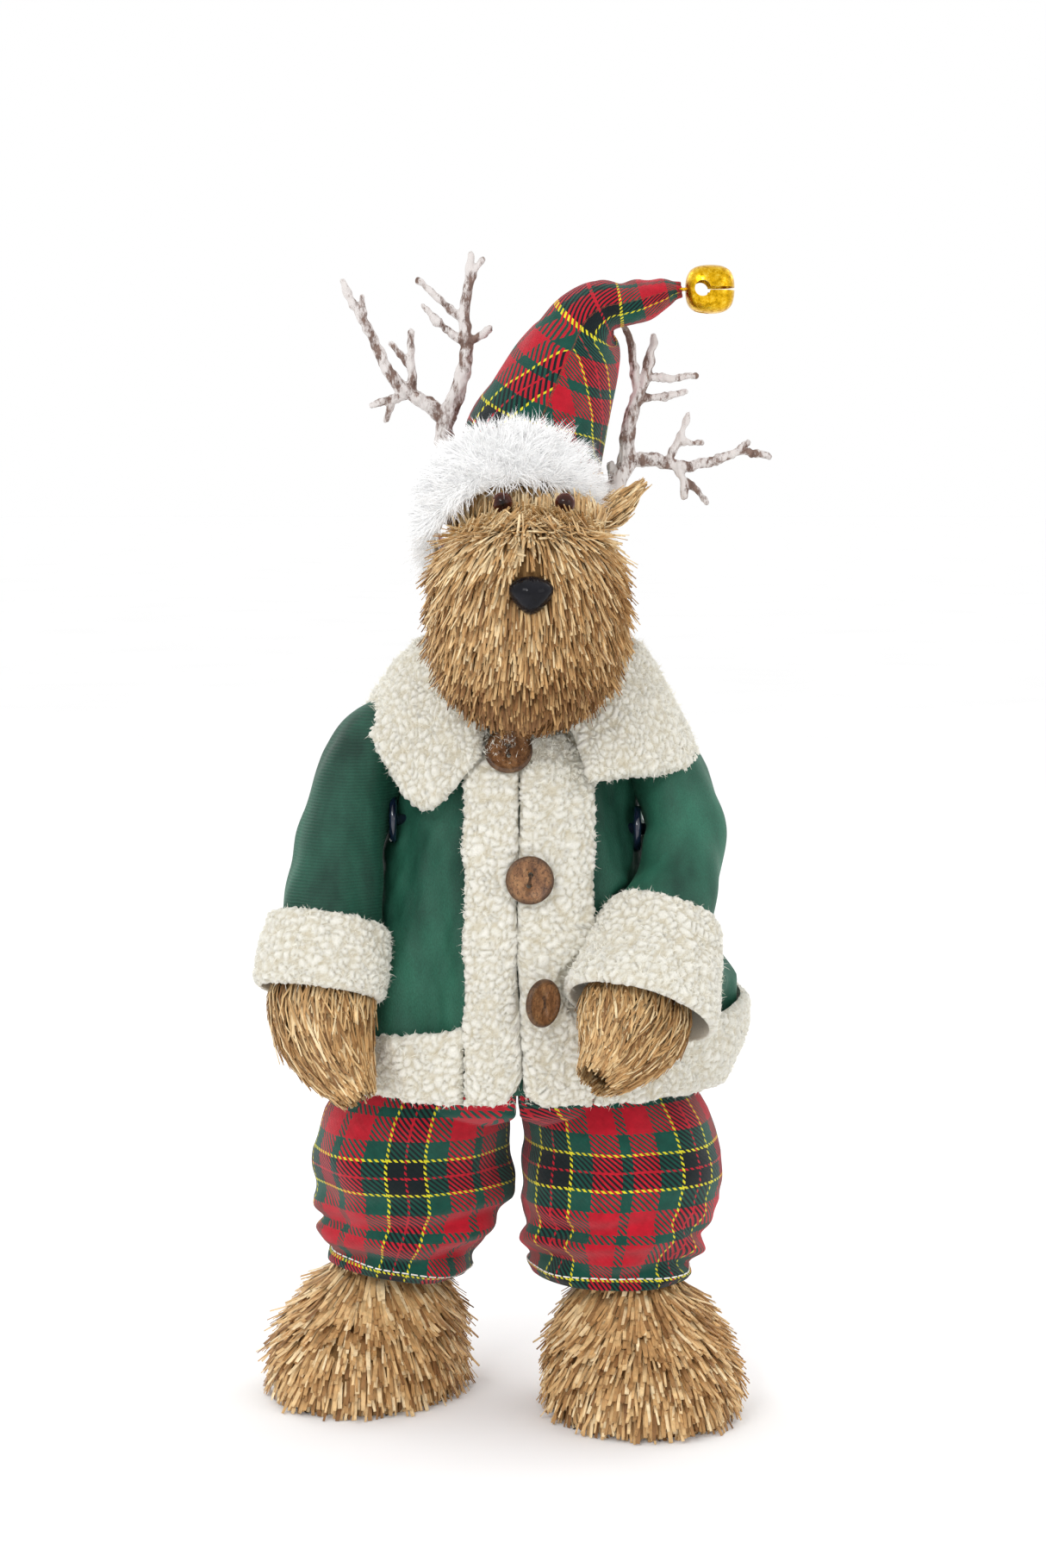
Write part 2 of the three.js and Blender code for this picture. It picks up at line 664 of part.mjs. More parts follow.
const handForms = {
  right: makeForm([
    [-80, -49, 203, 17, 14],
    [-81, -54, 188, 22.5, 16],
    [-78, -60, 174, 20.5, 15],
    [-71, -66, 160, 14, 12],
    [-63, -69, 148.5, 7, 7],
  ]),
  left: makeForm([
    [56, -63, 203, 17, 14],
    [50, -76, 186, 23.5, 16],
    [45, -85, 177, 21, 15],
    [39, -95, 169, 15, 12.5],
    [32, -104, 162, 7.5, 7],
  ]),
};
const sleeve = (side) => {
  const form = sleeveForms[side];
  return cut(slab(ring(form, 0), ring(form, -SLEEVE_WALL), 14, 7, true), stemHole(side));
};
const armCore = (side) => {
  const [x, y, z] = SHOULDER[side];
  const out = Math.sign(x);
  return cut(
    fill(sleeveForms[side], { offset: -SLEEVE_WALL - 1.6, start: 0.12, end: 0.86, columns: 14, rows: 6 }),
    fill(handForms[side], { offset: 0.8, columns: 14, rows: 6 }),
    bar([out * 40, y, z], [out * 64.5, y, z], STEM_RADIUS + 0.3, 12),
  );
};
const CUFF_WALL = 3.4;
const cuff = (side) =>
  cut(
    slab(ring(cuffForms[side], 0), ring(cuffForms[side], -CUFF_WALL), 20, 3, true),
    fill(sleeveForms[side], { offset: 0.9, columns: 16, rows: 8 }),
  );
const hand = (side) => fill(handForms[side], { columns: 14, rows: 6 });

// ---- collar ----
const COLLAR_EDGE = [
  [-15, -58, 290], [-38, -54, 267], [-57, -38, 288], [-65, -10, 299], [-50, 30, 297],
  [4, 49, 288], [57, 30, 292], [75, -8, 286], [75, -30, 281.5], [54, -50, 281], [31, -59, 279],
];
const COLLAR_NECK = [
  [-12, -48, 306], [-26, -38, 322], [-36, -20, 331], [-39, -4, 334], [-31, 20, 335],
  [6, 31, 336], [41, 20, 335], [50, -4, 334], [48, -22, 331], [36, -42, 320], [20, -50, 306],
];
const COLLAR_LIFT = 4;
const collar = () => {
  const edge = new THREE.CatmullRomCurve3(COLLAR_EDGE.map(vec), false, "centripetal");
  const neck = new THREE.CatmullRomCurve3(COLLAR_NECK.map(vec), false, "centripetal");
  const base = (u, v) => {
    const point = edge.getPoint(u).lerp(neck.getPoint(u), v);
    point.z += COLLAR_LIFT * Math.sin(Math.PI * v);
    return point;
  };
  const surface = (lift) => (u, v) => {
    const step = 0.01;
    const [u0, u1] = [Math.max(u - step, 0), Math.min(u + step, 1)];
    const [v0, v1] = [Math.max(v - step, 0), Math.min(v + step, 1)];
    const along = base(u1, v).sub(base(u0, v));
    const up = base(u, v1).sub(base(u, v0));
    return base(u, v).addScaledVector(along.cross(up).normalize(), lift);
  };
  const clearances = sides.map((side) =>
    ellipsoid(SHOULDER[side], SHOULDER_BALL[side].map((radius) => radius + 1.2)),
  );
  return cut(slab(surface(3), surface(-2.4), 26, 3, false), headOuter(1), ...clearances);
};

// ---- buttons ----
const BUTTONS = {
  top: { centre: [-2.7, -55.4, 291.6], lean: -28, turn: 0 },
  middle: { centre: [6.1, -69.2, 239.4], lean: -6, turn: 3 },
  bottom: { centre: [11.5, -80, 190.2], lean: 0, turn: 48 },
};
function button(name) {
  const { centre, lean, turn } = BUTTONS[name];
  const spin = new THREE.Euler(THREE.MathUtils.degToRad(lean), 0, THREE.MathUtils.degToRad(turn), "ZXY");
  const matrix = new THREE.Matrix4().compose(
    vec(centre),
    new THREE.Quaternion().setFromEuler(spin),
    vec([1, 1, 1]),
  );
  const half = BUTTON_THICKNESS / 2;
  const profile = [[0, -half], [8.6, -half], [BUTTON_RADIUS, -0.5], [BUTTON_RADIUS, 0.9], [9.2, half]];
  profile.push([8, half], [7.4, 0.8], [0, 0.8]);
  const disc = new THREE.LatheGeometry(profile.map(([r, h]) => new THREE.Vector2(r, h)), 16);
  disc.rotateX(Math.PI).applyMatrix4(matrix);
  const holes = [-2.2, 2.2].map((x) => {
    const hole = new THREE.CylinderGeometry(BUTTON_HOLE, BUTTON_HOLE, 8, 6);
    return toSolid(hole.translate(x, 0, 0).applyMatrix4(matrix));
  });
  return cut(toSolid(disc), ...holes);
}

// ---- assembly ----
const FINISHES = {
  straw: [0xb98d52, 0.85],
  velvet: [0x1f6b4b, 0.9],
  sherpa: [0xf2eddf, 0.95],
  tartan: [0xa01f33, 0.85],
  fur: [0xf7f6f2, 0.95],
  board: [0xa58a63, 0.9],
  wood: [0xb08a5a, 0.7],
  wadding: [0xe9e6df, 1],
  foam: [0xeeeeea, 0.9],
  coconut: [0x5d3b24, 0.45],
  plastic: [0x1c2438, 0.25],
  gloss: [0x0b0b10, 0.12],
  amber: [0x2c1408, 0.1],
  twig: [0x7a6558, 0.8],
  gold: [0xd9a521, 0.25, 1],
  steel: [0x9a9a9a, 0.35, 1],
};

const figure = new THREE.Group();
figure.position.set(-SIDE_CENTRE, -DEPTH_CENTRE, 0);

const FINE = ["coconut", "plastic", "gloss", "amber", "gold", "steel"];
function add(name, finish, solid, step = FINE.includes(finish) ? FINE_STEP : SMALLEST_STEP) {
  const [color, roughness, metalness = 0] = FINISHES[finish];
  const mesh = new THREE.Mesh(toGeometry(solid, step), new THREE.MeshStandardMaterial({ color, roughness, metalness }));
  mesh.name = name;
  figure.add(mesh);
}

for (const side of sides) {
  add(`sole_${side}`, "board", sole(side));
  add(`foot_${side}`, "straw", foot(side));
  add(`leg_dowel_${side}`, "wood", legDowel(side, 0));
  add(`leg_stuffing_${side}`, "wadding", legStuffing(side));
}
add("trousers", "tartan", trousers());
add("torso", "wadding", torso());
add("coat_body", "velvet", coatBody());
for (const side of sides) add(`front_band_${side}`, "sherpa", frontBands[side]());
add("hem_band", "sherpa", hemBand());
add("collar", "sherpa", collar());
for (const name of Object.keys(BUTTONS)) add(`button_${name}`, "coconut", button(name));
for (const side of sides) {
  add(`shoulder_disc_${side}`, "plastic", shoulderStem(side));
  add(`shoulder_washer_${side}`, "plastic", cut(shoulderWasher(side), stemHole(side)));
  add(`arm_core_${side}`, "wadding", armCore(side));
  add(`sleeve_${side}`, "velvet", sleeve(side));
  add(`cuff_${side}`, "sherpa", cuff(side));
  add(`hand_${side}`, "straw", hand(side));
}
add("neck_dowel", "wood", neckDowel(0));
add("head_core", "foam", cut(headCore(0), neckDowel(GAP)));
add(
  "head",
  "straw",
  cut(
    headOuter(0),
    headCore(GAP),
    bar([...NECK, 300], [...NECK, 352], NECK_RADIUS + 1, 14),
    ...sides.map((side) => eye(side, 0.4)),
    ...sides.map((side) => ear(side, 0.3)),
    ...sides.map((side) => antlerStem(side, 0.4)),
    noseForm(0.3),
  ),
  FINE_STEP,
);
add("nose", "gloss", noseForm(0));
for (const side of sides) {
  add(`eye_${side}`, "amber", eye(side, 0));
  add(`ear_${side}`, "straw", ear(side, 0));
  add(`antler_${side}`, "twig", antler(side, 0));
}
const antlerRoom = sides.map((side) => antlerStem(side, 0.8));
const earRoom = sides.map((side) => ear(side, 0.6));
const eyeRoom = sides.map((side) => eye(side, 0.6));
const hatCone = fill(hatForm, { columns: 18, rows: 7 });
const insideHat = fill(hatRoom, { offset: 0.7, columns: 18, rows: 7 });
add("hat_cone", "tartan", cut(hatCone, headOuter(0.5), bendBall(0.6), ...antlerRoom, ...earRoom));
add("hat_brim", "fur", cut(brimSolid(), headOuter(0.5), insideHat, ...antlerRoom, ...earRoom, ...eyeRoom));
add("hat_tip", "tartan", join(bendBall(0), fill(tipForm, { columns: 14, rows: 5 })));
add("bell_loop", "gold", bellLoop());
add("bell_shell", "gold", bellShell());
add("bell_clapper", "steel", clapper());

const reindeer = new THREE.Group();
reindeer.add(figure);
export default reindeer;
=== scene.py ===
"""A dressed straw reindeer figure: straw, velvet coat with sherpa trim, tartan trousers and hat."""

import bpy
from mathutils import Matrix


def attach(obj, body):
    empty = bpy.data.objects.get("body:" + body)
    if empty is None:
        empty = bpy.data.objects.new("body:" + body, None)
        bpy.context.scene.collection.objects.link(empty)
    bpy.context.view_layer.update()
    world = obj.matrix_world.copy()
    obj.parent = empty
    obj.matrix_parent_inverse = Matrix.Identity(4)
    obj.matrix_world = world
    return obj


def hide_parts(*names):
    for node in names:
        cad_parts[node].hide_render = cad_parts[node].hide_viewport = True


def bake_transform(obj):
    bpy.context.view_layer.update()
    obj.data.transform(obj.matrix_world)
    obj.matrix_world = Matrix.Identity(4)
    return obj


bl_info = {
    "name": "Straw Reindeer Figure",
    "version": (1, 0, 0),
    "blender": (4, 5, 0),
    "location": "View3D > Sidebar > Reindeer",
    "description": "Builds a dressed straw reindeer's cloth, straw, fur and metal around its packed frame",
    "category": "Add Mesh",
}

import itertools
import math

import bpy
import numpy as np
from bpy.props import FloatProperty, FloatVectorProperty, IntProperty, PointerProperty
from mathutils import Matrix, Vector

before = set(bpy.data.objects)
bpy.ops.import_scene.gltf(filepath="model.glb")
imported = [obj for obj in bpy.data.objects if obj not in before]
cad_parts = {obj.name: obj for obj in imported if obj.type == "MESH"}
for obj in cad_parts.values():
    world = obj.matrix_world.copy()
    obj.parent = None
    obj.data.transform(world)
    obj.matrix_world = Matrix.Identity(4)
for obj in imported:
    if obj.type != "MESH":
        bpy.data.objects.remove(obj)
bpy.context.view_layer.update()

TURN = 2 * math.pi
SIDES = ("right", "left")
OUT = {"right": -1, "left": 1}

# The stage, in metres.
CAMERA_LENS = 69.38
CAMERA_PLACE = (0.00288, -1.2787, 0.4)
CAMERA_TILT = math.radians(90 - 5.6078)
LAMP_AIM = (0, 0, 0.25)
LAMPS = (
    ("key", (-0.9, -1.6, 1.5), 0.7, 8), ("sparkle", (-0.4, -1.3, 1.0), 0.09,
                                         2.2), ("fill", (1.5, -1.3, 0.9), 1.0, 3),
    ("back_left", (-1.3, 1.2, 1.3), 1.0, 5), ("back_right", (1.3, 1.2, 1.3), 1.0, 5),
)

# The figure, in millimetres on its own axes. Forms are rows of x, y, z, half width and half depth.
FIGURE_SHIFT = (0.42, -21.3, 0.0)
FLOOR_REACH = 40000
TWILL_PITCH = 2.6
SHERPA_CELL = 0.75
COAT_BOTTOM, COAT_TOP = 145.0, 299.0
FRONT_SPLIT, FRONT_RIGHT, FRONT_LEFT, FRONT_CORNER = 1.6, -20, 31, 12
CUFF_HEIGHT = {"right": 31, "left": 44}
STITCH_HEIGHT = {"right": 61.5, "left": 62.5}
STITCH_LENGTH, STITCH_STEP = 3.0, 4.0
EYE_RADIUS, EYE_ROOM, NOSE_ROOM = 4.2, 4.9, 8.6
BELL_OUTSIDE, BELL_INSIDE = 10.4, 9.5
HAT_MOUTH = 0.06
BUTTON_PROFILE = (
    (2e-3, -1.5), (8.4, -1.5), (9.4, -1.1), (9.95, -0.3), (9.95, 0.6), (9.6, 1.2), (9.0, 1.5), (8.2, 1.45),
    (7.6, 1.0), (7.2, 0.8), (2e-3, 0.8),
)
SHOULDER_PROFILE = (
    (2.5, 26), (2.5, 49.6), (4, 50), (9, 50), (9.8, 50.5), (10, 51.5), (9.8,
                                                                        52.5), (9, 53), (4, 53), (2.5, 53.6),
    (2.5, 64),
)

SHOULDER = {"right": (-71.5, -28, 260), "left": (71.5, -28, 256)}
COAT_FORM = (
    (2, -3, 149, 85, 63), (5, -3, 166, 89, 63), (7, -4, 190, 88, 61), (4, -4, 215, 72, 58),
    (1, -5, 240, 57, 54.5), (0, -5, 262, 49, 51), (1, -4, 285, 49, 46), (4, -2, 303, 40, 38),
)
ARM_PRESS = (
    (SHOULDER["right"], (-82, -54, 186), 23.8), (SHOULDER["left"], (51, -74, 186), 23.8),
    ((-79, -47, 212), (-82, -54, 188), 27.8), ((62, -54, 220), (52, -77, 188), 29.8),
    ((36, -81, 196), (52, -81, 184), 28.2),
    ((-80, -58, 184), (-66, -68, 150), 27.2), ((49, -81, 182), (36, -101, 164), 27.2),
)
LEG_FORM = {
    "right": ((-54, 17, 57, 29.5, 32), (-50, 15, 70, 35, 36), (-44.8, 10, 90, 43.2, 40),
              (-46, 6, 112, 43.8, 42), (-43, 3, 130, 41, 43), (-38, 2, 145, 36, 42), (-37, 2, 164, 36, 42)),
    "left": ((41.5, -2, 58, 33.5, 34), (42.5, -2, 72, 38, 37), (44.8, -2, 90, 43.2, 40),
             (46.5, -2, 112, 43.8, 42), (43.5, -1, 130, 41, 43), (40, 0, 145, 36, 42), (39, 0, 164, 36, 42)),
}
FOOT_PLACE = {"right": (-64.5, 18, -25), "left": (54.5, -13, 8)}
FOOT_FORM = (
    (0, -2, 2.9, 36.5, 43), (0, -2, 12, 40, 47), (0, -1, 24, 39.5, 46), (1, 2, 36, 35, 41),
    (2, 5, 48, 27, 29), (4, 5, 56, 20, 20), (5, 6, 66, 18, 19),
)
MUZZLE_FORM = (
    (5, -68, 304, 14, 12), (5, -65, 310, 25, 22), (5, -57, 321, 35, 35.5), (5.3, -53, 337, 40.5, 41.5),
    (5.3, -52, 352, 41, 43), (5.5, -51, 368, 38, 42), (6, -50, 380, 32.5, 37), (6.5, -49, 388, 22, 26),
)
SKULL = ((6.5, 0, 378), (31, 34, 50))
SKULL_TOP = 0.88
BROW = ((6, -16, 384), (34, 38, 20))
EYES = {"right": (-5.2, -53.3, 393.8), "left": (20.6, -52.6, 393.6)}
NOSE = (6.5, -93.5, 358)
EAR_FORM = {
    "right": ((-18, -16, 386, 4, 3), (-25, -17, 388.5, 5, 3), (-31, -17, 390, 4, 2.4),
              (-37, -16, 391.5, 1.5, 1.2)),
    "left": ((32, -16, 384, 5, 3.5), (40, -17, 389, 7, 4.2), (46, -16, 394, 5.5, 3.4),
             (51.5, -14, 399, 2.4, 1.6)),
}
HAND_FORM = {
    "right": ((-80, -49, 203, 17, 14), (-81, -54, 188, 22.5, 16), (-78, -60, 174, 20.5, 15),
              (-72, -65, 161, 14.5, 12), (-67, -68, 153, 9.5, 8)),
    "left": ((56, -63, 203, 17, 14), (50, -76, 186, 23.5, 16), (45, -85, 177, 21, 15),
             (40, -92, 170, 15.5, 12.5), (35, -98, 165, 10, 8.5)),
}
SLEEVE_FORM = {
    "right": ((-45, -8, 303, 11, 13), (-56, -13, 295, 16, 18), (-65, -20, 281, 18.5, 21),
              (-71.5, -28, 260, 18.5, 21.5),
              (-75, -36, 238, 19.5, 21), (-78.5, -44, 215, 22, 21), (-80, -48, 203, 22.5, 21)),
    "left": ((48, -10, 299, 11, 13), (58, -15, 290, 15, 17), (66, -21, 276, 17, 19.5),
             (71.5, -28, 256, 17, 19.5),
             (68, -40, 236, 18, 19.5), (60.5, -54, 216, 21.5, 20), (57, -61, 205, 23, 20)),
}
CUFF_FORM = {
    "right": ((-77.8, -44, 219, 26, 24), (-80, -49, 205, 27.5, 24), (-82, -54, 190, 27.5, 23)),
    "left": ((62.5, -52, 223, 24, 23), (58, -61, 208, 28, 24), (51, -77, 186, 33, 25)),
}
COLLAR_EDGE = (
    (-15, -58, 290), (-38, -54, 267), (-57, -38, 288), (-65, -10, 299), (-50, 30, 297), (4, 49, 288),
    (57, 30, 292), (75, -8, 286), (75, -30, 281.5), (54, -50, 281), (31, -59, 279),
)
COLLAR_NECK = (
    (-12, -48, 306), (-26, -38, 322), (-36, -20, 331), (-39, -4, 334), (-31, 20, 335), (6, 31, 336),
    (41, 20, 335), (50, -4, 334), (48, -22, 331), (36, -42, 320), (20, -50, 306),
)
HAT_FORM = (
    (3.5, -3, 386, 32, 38), (3.5, 3, 400, 31.5, 37.5), (7.5, 7, 418, 30.8, 33), (16.5, 5, 440, 26.5, 27),
    (25.5, 0, 460, 21, 21), (31.5, -4, 471, 15.5, 15.5), (38.5, -5, 475.5, 12, 12.4), (46, -5, 477, 10.4, 10.6),
    (55, -5, 479.3, 9, 9.2), (63, -5, 481.8, 6.8, 6.9), (67.5, -5, 483, 4.9, 4.9), (70.5, -5, 483.4, 3.4, 3.4),
)
BRIM_CENTRE = (-3, -3, 387)
BRIM_REACH = (35.5, 46.0, 15.0)
BRIM_TUBE = 0.13
BRIM_LEAN = math.radians(-34)
BRIM_ROLL = math.radians(-15)
BELL_CENTRE = (82.5, -5, 483.5)
BUTTONS = {
    "top": ((-2.7, -55.4, 291.6), -28, 0, 90),
    "middle": ((6.1, -69.2, 239.4), -6, 3, 80),
    "bottom": ((11.5, -80, 190.2), 0, 48, 90),
}
ANTLERS = {
    "right": (
        (3.6, 3.6, (-10, 383), (-24, 398), (-28, 407), (-31, 425), (-29, 431)),
        (3.4, 1.2, (-30, 429), (-24, 444), (-21, 458), (-22, 474), (-20, 489), (-19, 500)),
        (1.7, 0.9, (-22, 471), (-31, 479), (-42, 489)),
        (1.7, 0.9, (-21, 461), (-32, 470), (-40, 478)),
        (1.9, 1.1, (-22, 462), (-15, 465), (-10, 468)),
        (1.5, 0.9, (-20, 488), (-14, 498)),
        (3.4, 1.1, (-30, 429), (-38, 436), (-48, 442), (-55, 450), (-62, 465), (-72, 483), (-74, 489)),
        (1.8, 1.2, (-44, 440), (-45, 452), (-45, 467)),
        (1.6, 0.9, (-45, 452), (-54, 462)),
        (1.5, 0.9, (-66, 472), (-66, 482)),
        (1.9, 1.1, (-45, 440), (-56, 437), (-63, 435)),
        (1.6, 1.1, (-53, 438), (-56, 428)),
    ),
    "left": (
        (3.6, 3.6, (20, 380), (33, 389), (42, 399), (50, 414)),
        (3.4, 1.3, (48, 411), (49, 426), (52, 437), (56, 447), (58, 456), (60, 465)),
        (1.8, 0.9, (53, 439), (51, 453), (50, 462), (46, 470)),
        (1.8, 1.0, (56, 447), (67, 447), (78, 448)),
        (1.7, 1.0, (53, 438), (64, 439), (74, 441)),
        (2.2, 1.5, (43, 401), (41, 411)),
        (3.0, 1.1, (49, 411), (58, 412), (67, 410), (74, 409), (88, 412), (97, 415), (110, 413.5)),
        (1.5, 0.9, (93, 413.5), (101, 420)),
        (1.8, 1.0, (65, 410), (71, 421), (75, 432)),
        (1.4, 0.9, (70, 419.5), (81, 419)),
        (1.9, 1.0, (69, 410), (73, 402), (73, 395)),
        (1.6, 1.0, (72, 404), (78, 399), (83, 393)),
    ),
}


# ---- numbers and vectors ----
def rotation(*turns):
    """Matrix of several turns, each an angle and an axis, the last of them made first."""
    whole = Matrix.Identity(3)
    for angle, axis in turns:
        whole = whole @ Matrix.Rotation(angle, 3, axis)
    return np.array(whole)


def circle(count):
    """Angles once around, without the last, which would meet the first."""
    return np.linspace(0, TURN, count, endpoint=False)


def stacked(*parts):
    """Coordinates, or point numbers, joined in a last axis."""
    return np.stack(np.broadcast_arrays(*parts), axis=-1)


def unit(vectors):
    """Each row scaled to length one."""
    length = np.linalg.norm(vectors, axis=-1, keepdims=True)
    return vectors / np.maximum(length, 1e-9)


def metres(points):
    """Figure millimetres to frame metres."""
    return (np.asarray(points, float) - FIGURE_SHIFT) * 0.001


def smooth(value, low, high):
    """Smooth step from 0 at low to 1 at high."""
    t = np.clip((np.asarray(value, float) - low) / (high - low), 0, 1)
    return t * t * (3 - 2 * t)


def swell(points, wavelength, seed):
    """Slow random undulation through space, about -1 to 1."""
    rng = np.random.default_rng(seed)
    waves = 9
    ways = unit(rng.normal(size=(waves, 3))) * (TURN / wavelength) * rng.uniform(0.6, 1.5, (waves, 1))
    phase = rng.uniform(0, TURN, waves)
    return np.sin(points @ ways.T + phase).sum(axis=-1) / math.sqrt(waves) / 1.2


def scrambled(cells, seed):
    """Three repeatable numbers from 0 to 1 for each whole-number cell."""
    mixed = cells @ np.array([[127.1, 269.5, 113.5], [311.7, 183.3, 271.9], [74.7, 246.1, 124.6]]) + seed * 17.3
    return np.modf(np.abs(np.sin(mixed) * 43758.5453))[0]


def curl_height(points, pitch, seed):
    """Height from 0 to 1 of the woolly curls, which sit about pitch apart."""
    scaled = points / pitch
    cells = np.floor(scaled)
    nearest = np.full(points.shape[:-1], 9.0)
    second = nearest.copy()
    for step in itertools.product((-1, 0, 1), repeat=3):
        cell = cells + step
        away = np.linalg.norm(cell + scrambled(cell, seed) - scaled, axis=-1)
        second = np.minimum(second, np.maximum(nearest, away))
        nearest = np.minimum(nearest, away)
    dome = np.sqrt(np.clip(1 - (nearest / 0.95) ** 2, 0, 1))
    return dome * (0.25 + 0.75 * smooth(second - nearest, 0.0, 0.34))


class Form:
    """A path with an elliptical section. Stations are (x, y, z, half width, half depth)."""

    def __init__(self, stations, upright=False, press=()):
        self.stations = np.array(stations, float)
        self.last = len(stations) - 1
        self.upright = upright
        self.press = press

    def along(self, share):
        """Centre and direction of the path at shares from 0 to 1."""
        ends = self.stations[:, :3]
        knots = np.vstack([2 * ends[0] - ends[1], ends, 2 * ends[-1] - ends[-2]])
        gaps = np.linalg.norm(np.diff(knots, axis=0), axis=1) ** 0.5
        place = np.clip(share, 0, 1) * self.last
        index = np.minimum(np.floor(place).astype(int), self.last - 1)
        w = (place - index)[..., None]
        p0, p1, p2, p3 = (knots[index + step] for step in range(4))
        g0, g1, g2 = (gaps[index + step][..., None] for step in range(3))
        t1 = ((p1 - p0) / g0 - (p2 - p0) / (g0 + g1) + (p2 - p1) / g1) * g1
        t2 = ((p2 - p1) / g1 - (p3 - p1) / (g1 + g2) + (p3 - p2) / g2) * g1
        c2 = -3 * p1 + 3 * p2 - 2 * t1 - t2
        c3 = 2 * p1 - 2 * p2 + t1 + t2
        return p1 + t1 * w + c2 * w**2 + c3 * w**3, unit(t1 + 2 * c2 * w + 3 * c3 * w**2), index, w

    def point(self, share, angle, offset=0.0):
        """Points of the skin, grown by offset."""
        share, angle, offset = np.broadcast_arrays(np.asarray(share, float), angle, offset)
        centre, way, index, w = self.along(share)
        if self.upright:
            way = np.broadcast_to([0.0, 0.0, 1.0], way.shape)
        across = unit(stacked(way[..., 2], 0.0, -way[..., 0]))
        deep = np.cross(way, across)
        size = self.stations[index, 3:] * (1 - w) + self.stations[index + 1, 3:] * w + offset[..., None]
        where = centre + across * (size[..., :1] * np.cos(angle)[..., None])
        where = where + deep * (size[..., 1:] * np.sin(angle)[..., None])
        return pressed(where, offset, self.press) if self.press else where

    def height_share(self, z):
        """Share of the path at each height."""
        shares = np.linspace(0, 1, 1200)
        return np.interp(z, self.along(shares)[0][:, 2], shares)

    def grid(self, columns, rows, offset=0.0, start=0.0, end=1.0):
        """Wrapped grid of the skin, one row for each share."""
        share = np.linspace(start, end, rows + 1)[:, None]
        angle = circle(columns)[None]
        return self.point(share, angle, offset)

    def bud(self, columns, rows, offset, start=0.0, end=1.0):
        """The same, closed to a point at both ends."""
        t = np.linspace(0, 1, rows + 1)[:, None]
        whole = self.point(start + (end - start) * t, circle(columns)[None], offset)
        middle = whole.mean(axis=1, keepdims=True)
        return middle + (whole - middle) * ((1 - np.abs(2 * t - 1) ** 6) ** 0.5 + 1e-3)[..., None]


def pressed(points, offset, lines):
    """The arms press the coat in: points nearer an arm's line than its reach move level, away from it."""
    flat = points.reshape(-1, 3).copy()
    lift = np.broadcast_to(offset, points.shape[:-1]).ravel()
    for start, end, radius in lines + lines:
        a, b = np.array(start, float), np.array(end, float)
        share = np.clip((flat - a) @ (b - a) / ((b - a) @ (b - a)), 0, 1)
        nearest = a + share[:, None] * (b - a)
        gap = flat - nearest
        reach = radius - lift
        near = np.einsum("ij,ij->i", gap, gap) < reach**2
        way = gap * (1, 1, 0) + 3 * unit(-nearest * (1, 1, 0))
        way = unit(way)
        along = np.einsum("ij,ij->i", gap, way)
        rest = np.einsum("ij,ij->i", gap, gap) - reach**2
        move = -along + np.sqrt(np.maximum(along**2 - rest, 0))
        flat[near] += way[near] * move[near, None]
    return flat.reshape(points.shape)


def grid_normals(grid, wrap):
    """Outward normals of a grid of points."""
    if wrap:
        along = np.roll(grid, -1, axis=1) - np.roll(grid, 1, axis=1)
    else:
        along = np.gradient(grid, axis=1)
    return unit(np.cross(along, np.gradient(grid, axis=0)))


def grid_faces(across, rows, wrap, start=0):
    """Quads of a grid, facing out."""
    columns = across if wrap else across - 1
    row, column = np.mgrid[0:rows, 0:columns]
    a = start + row * across + column
    b = start + row * across + (column + 1) % across
    return stacked(a, b, b + across, a + across).reshape(-1, 4)


def strip(a, b):
    """Quads between two lists of point numbers."""
    return stacked(a[:-1], a[1:], b[1:], b[:-1])


def ball(columns, rows, reach=0.5):
    """Sphere of radius one as a wrapped grid, reach half turns up and down from its waist."""
    angle, tall = circle(columns), np.linspace(-reach, reach, rows)[:, None] * math.pi
    return stacked(np.cos(tall) * np.cos(angle), np.cos(tall) * np.sin(angle), np.sin(tall))


def spread(columns, rows):
    """Shares up a form and angles around it, ready to be combined."""
    return np.linspace(0, 1, rows + 1)[:, None], circle(columns)[None]


def scatter(grid, count, rng):
    """Points spread evenly over a wrapped grid: places, outward normals, shares up the grid."""
    grid = np.concatenate([grid, grid[:, :1]], axis=1)
    a, b, c, d = grid[:-1, :-1], grid[:-1, 1:], grid[1:, 1:], grid[1:, :-1]
    turned = np.cross(c - a, d - b)
    areas = np.linalg.norm(turned, axis=-1).ravel()
    picked = rng.choice(areas.size, count, p=areas / areas.sum())
    s, t = rng.random((2, count, 1))
    corners = [corner.reshape(-1, 3)[picked] for corner in (a, b, c, d)]
    low = corners[0] * (1 - s) + corners[1] * s
    high = corners[3] * (1 - s) + corners[2] * s
    share = (picked // a.shape[1] + t[:, 0]) / a.shape[0]
    return low * (1 - t) + high * t, unit(turned.reshape(-1, 3)[picked]), share


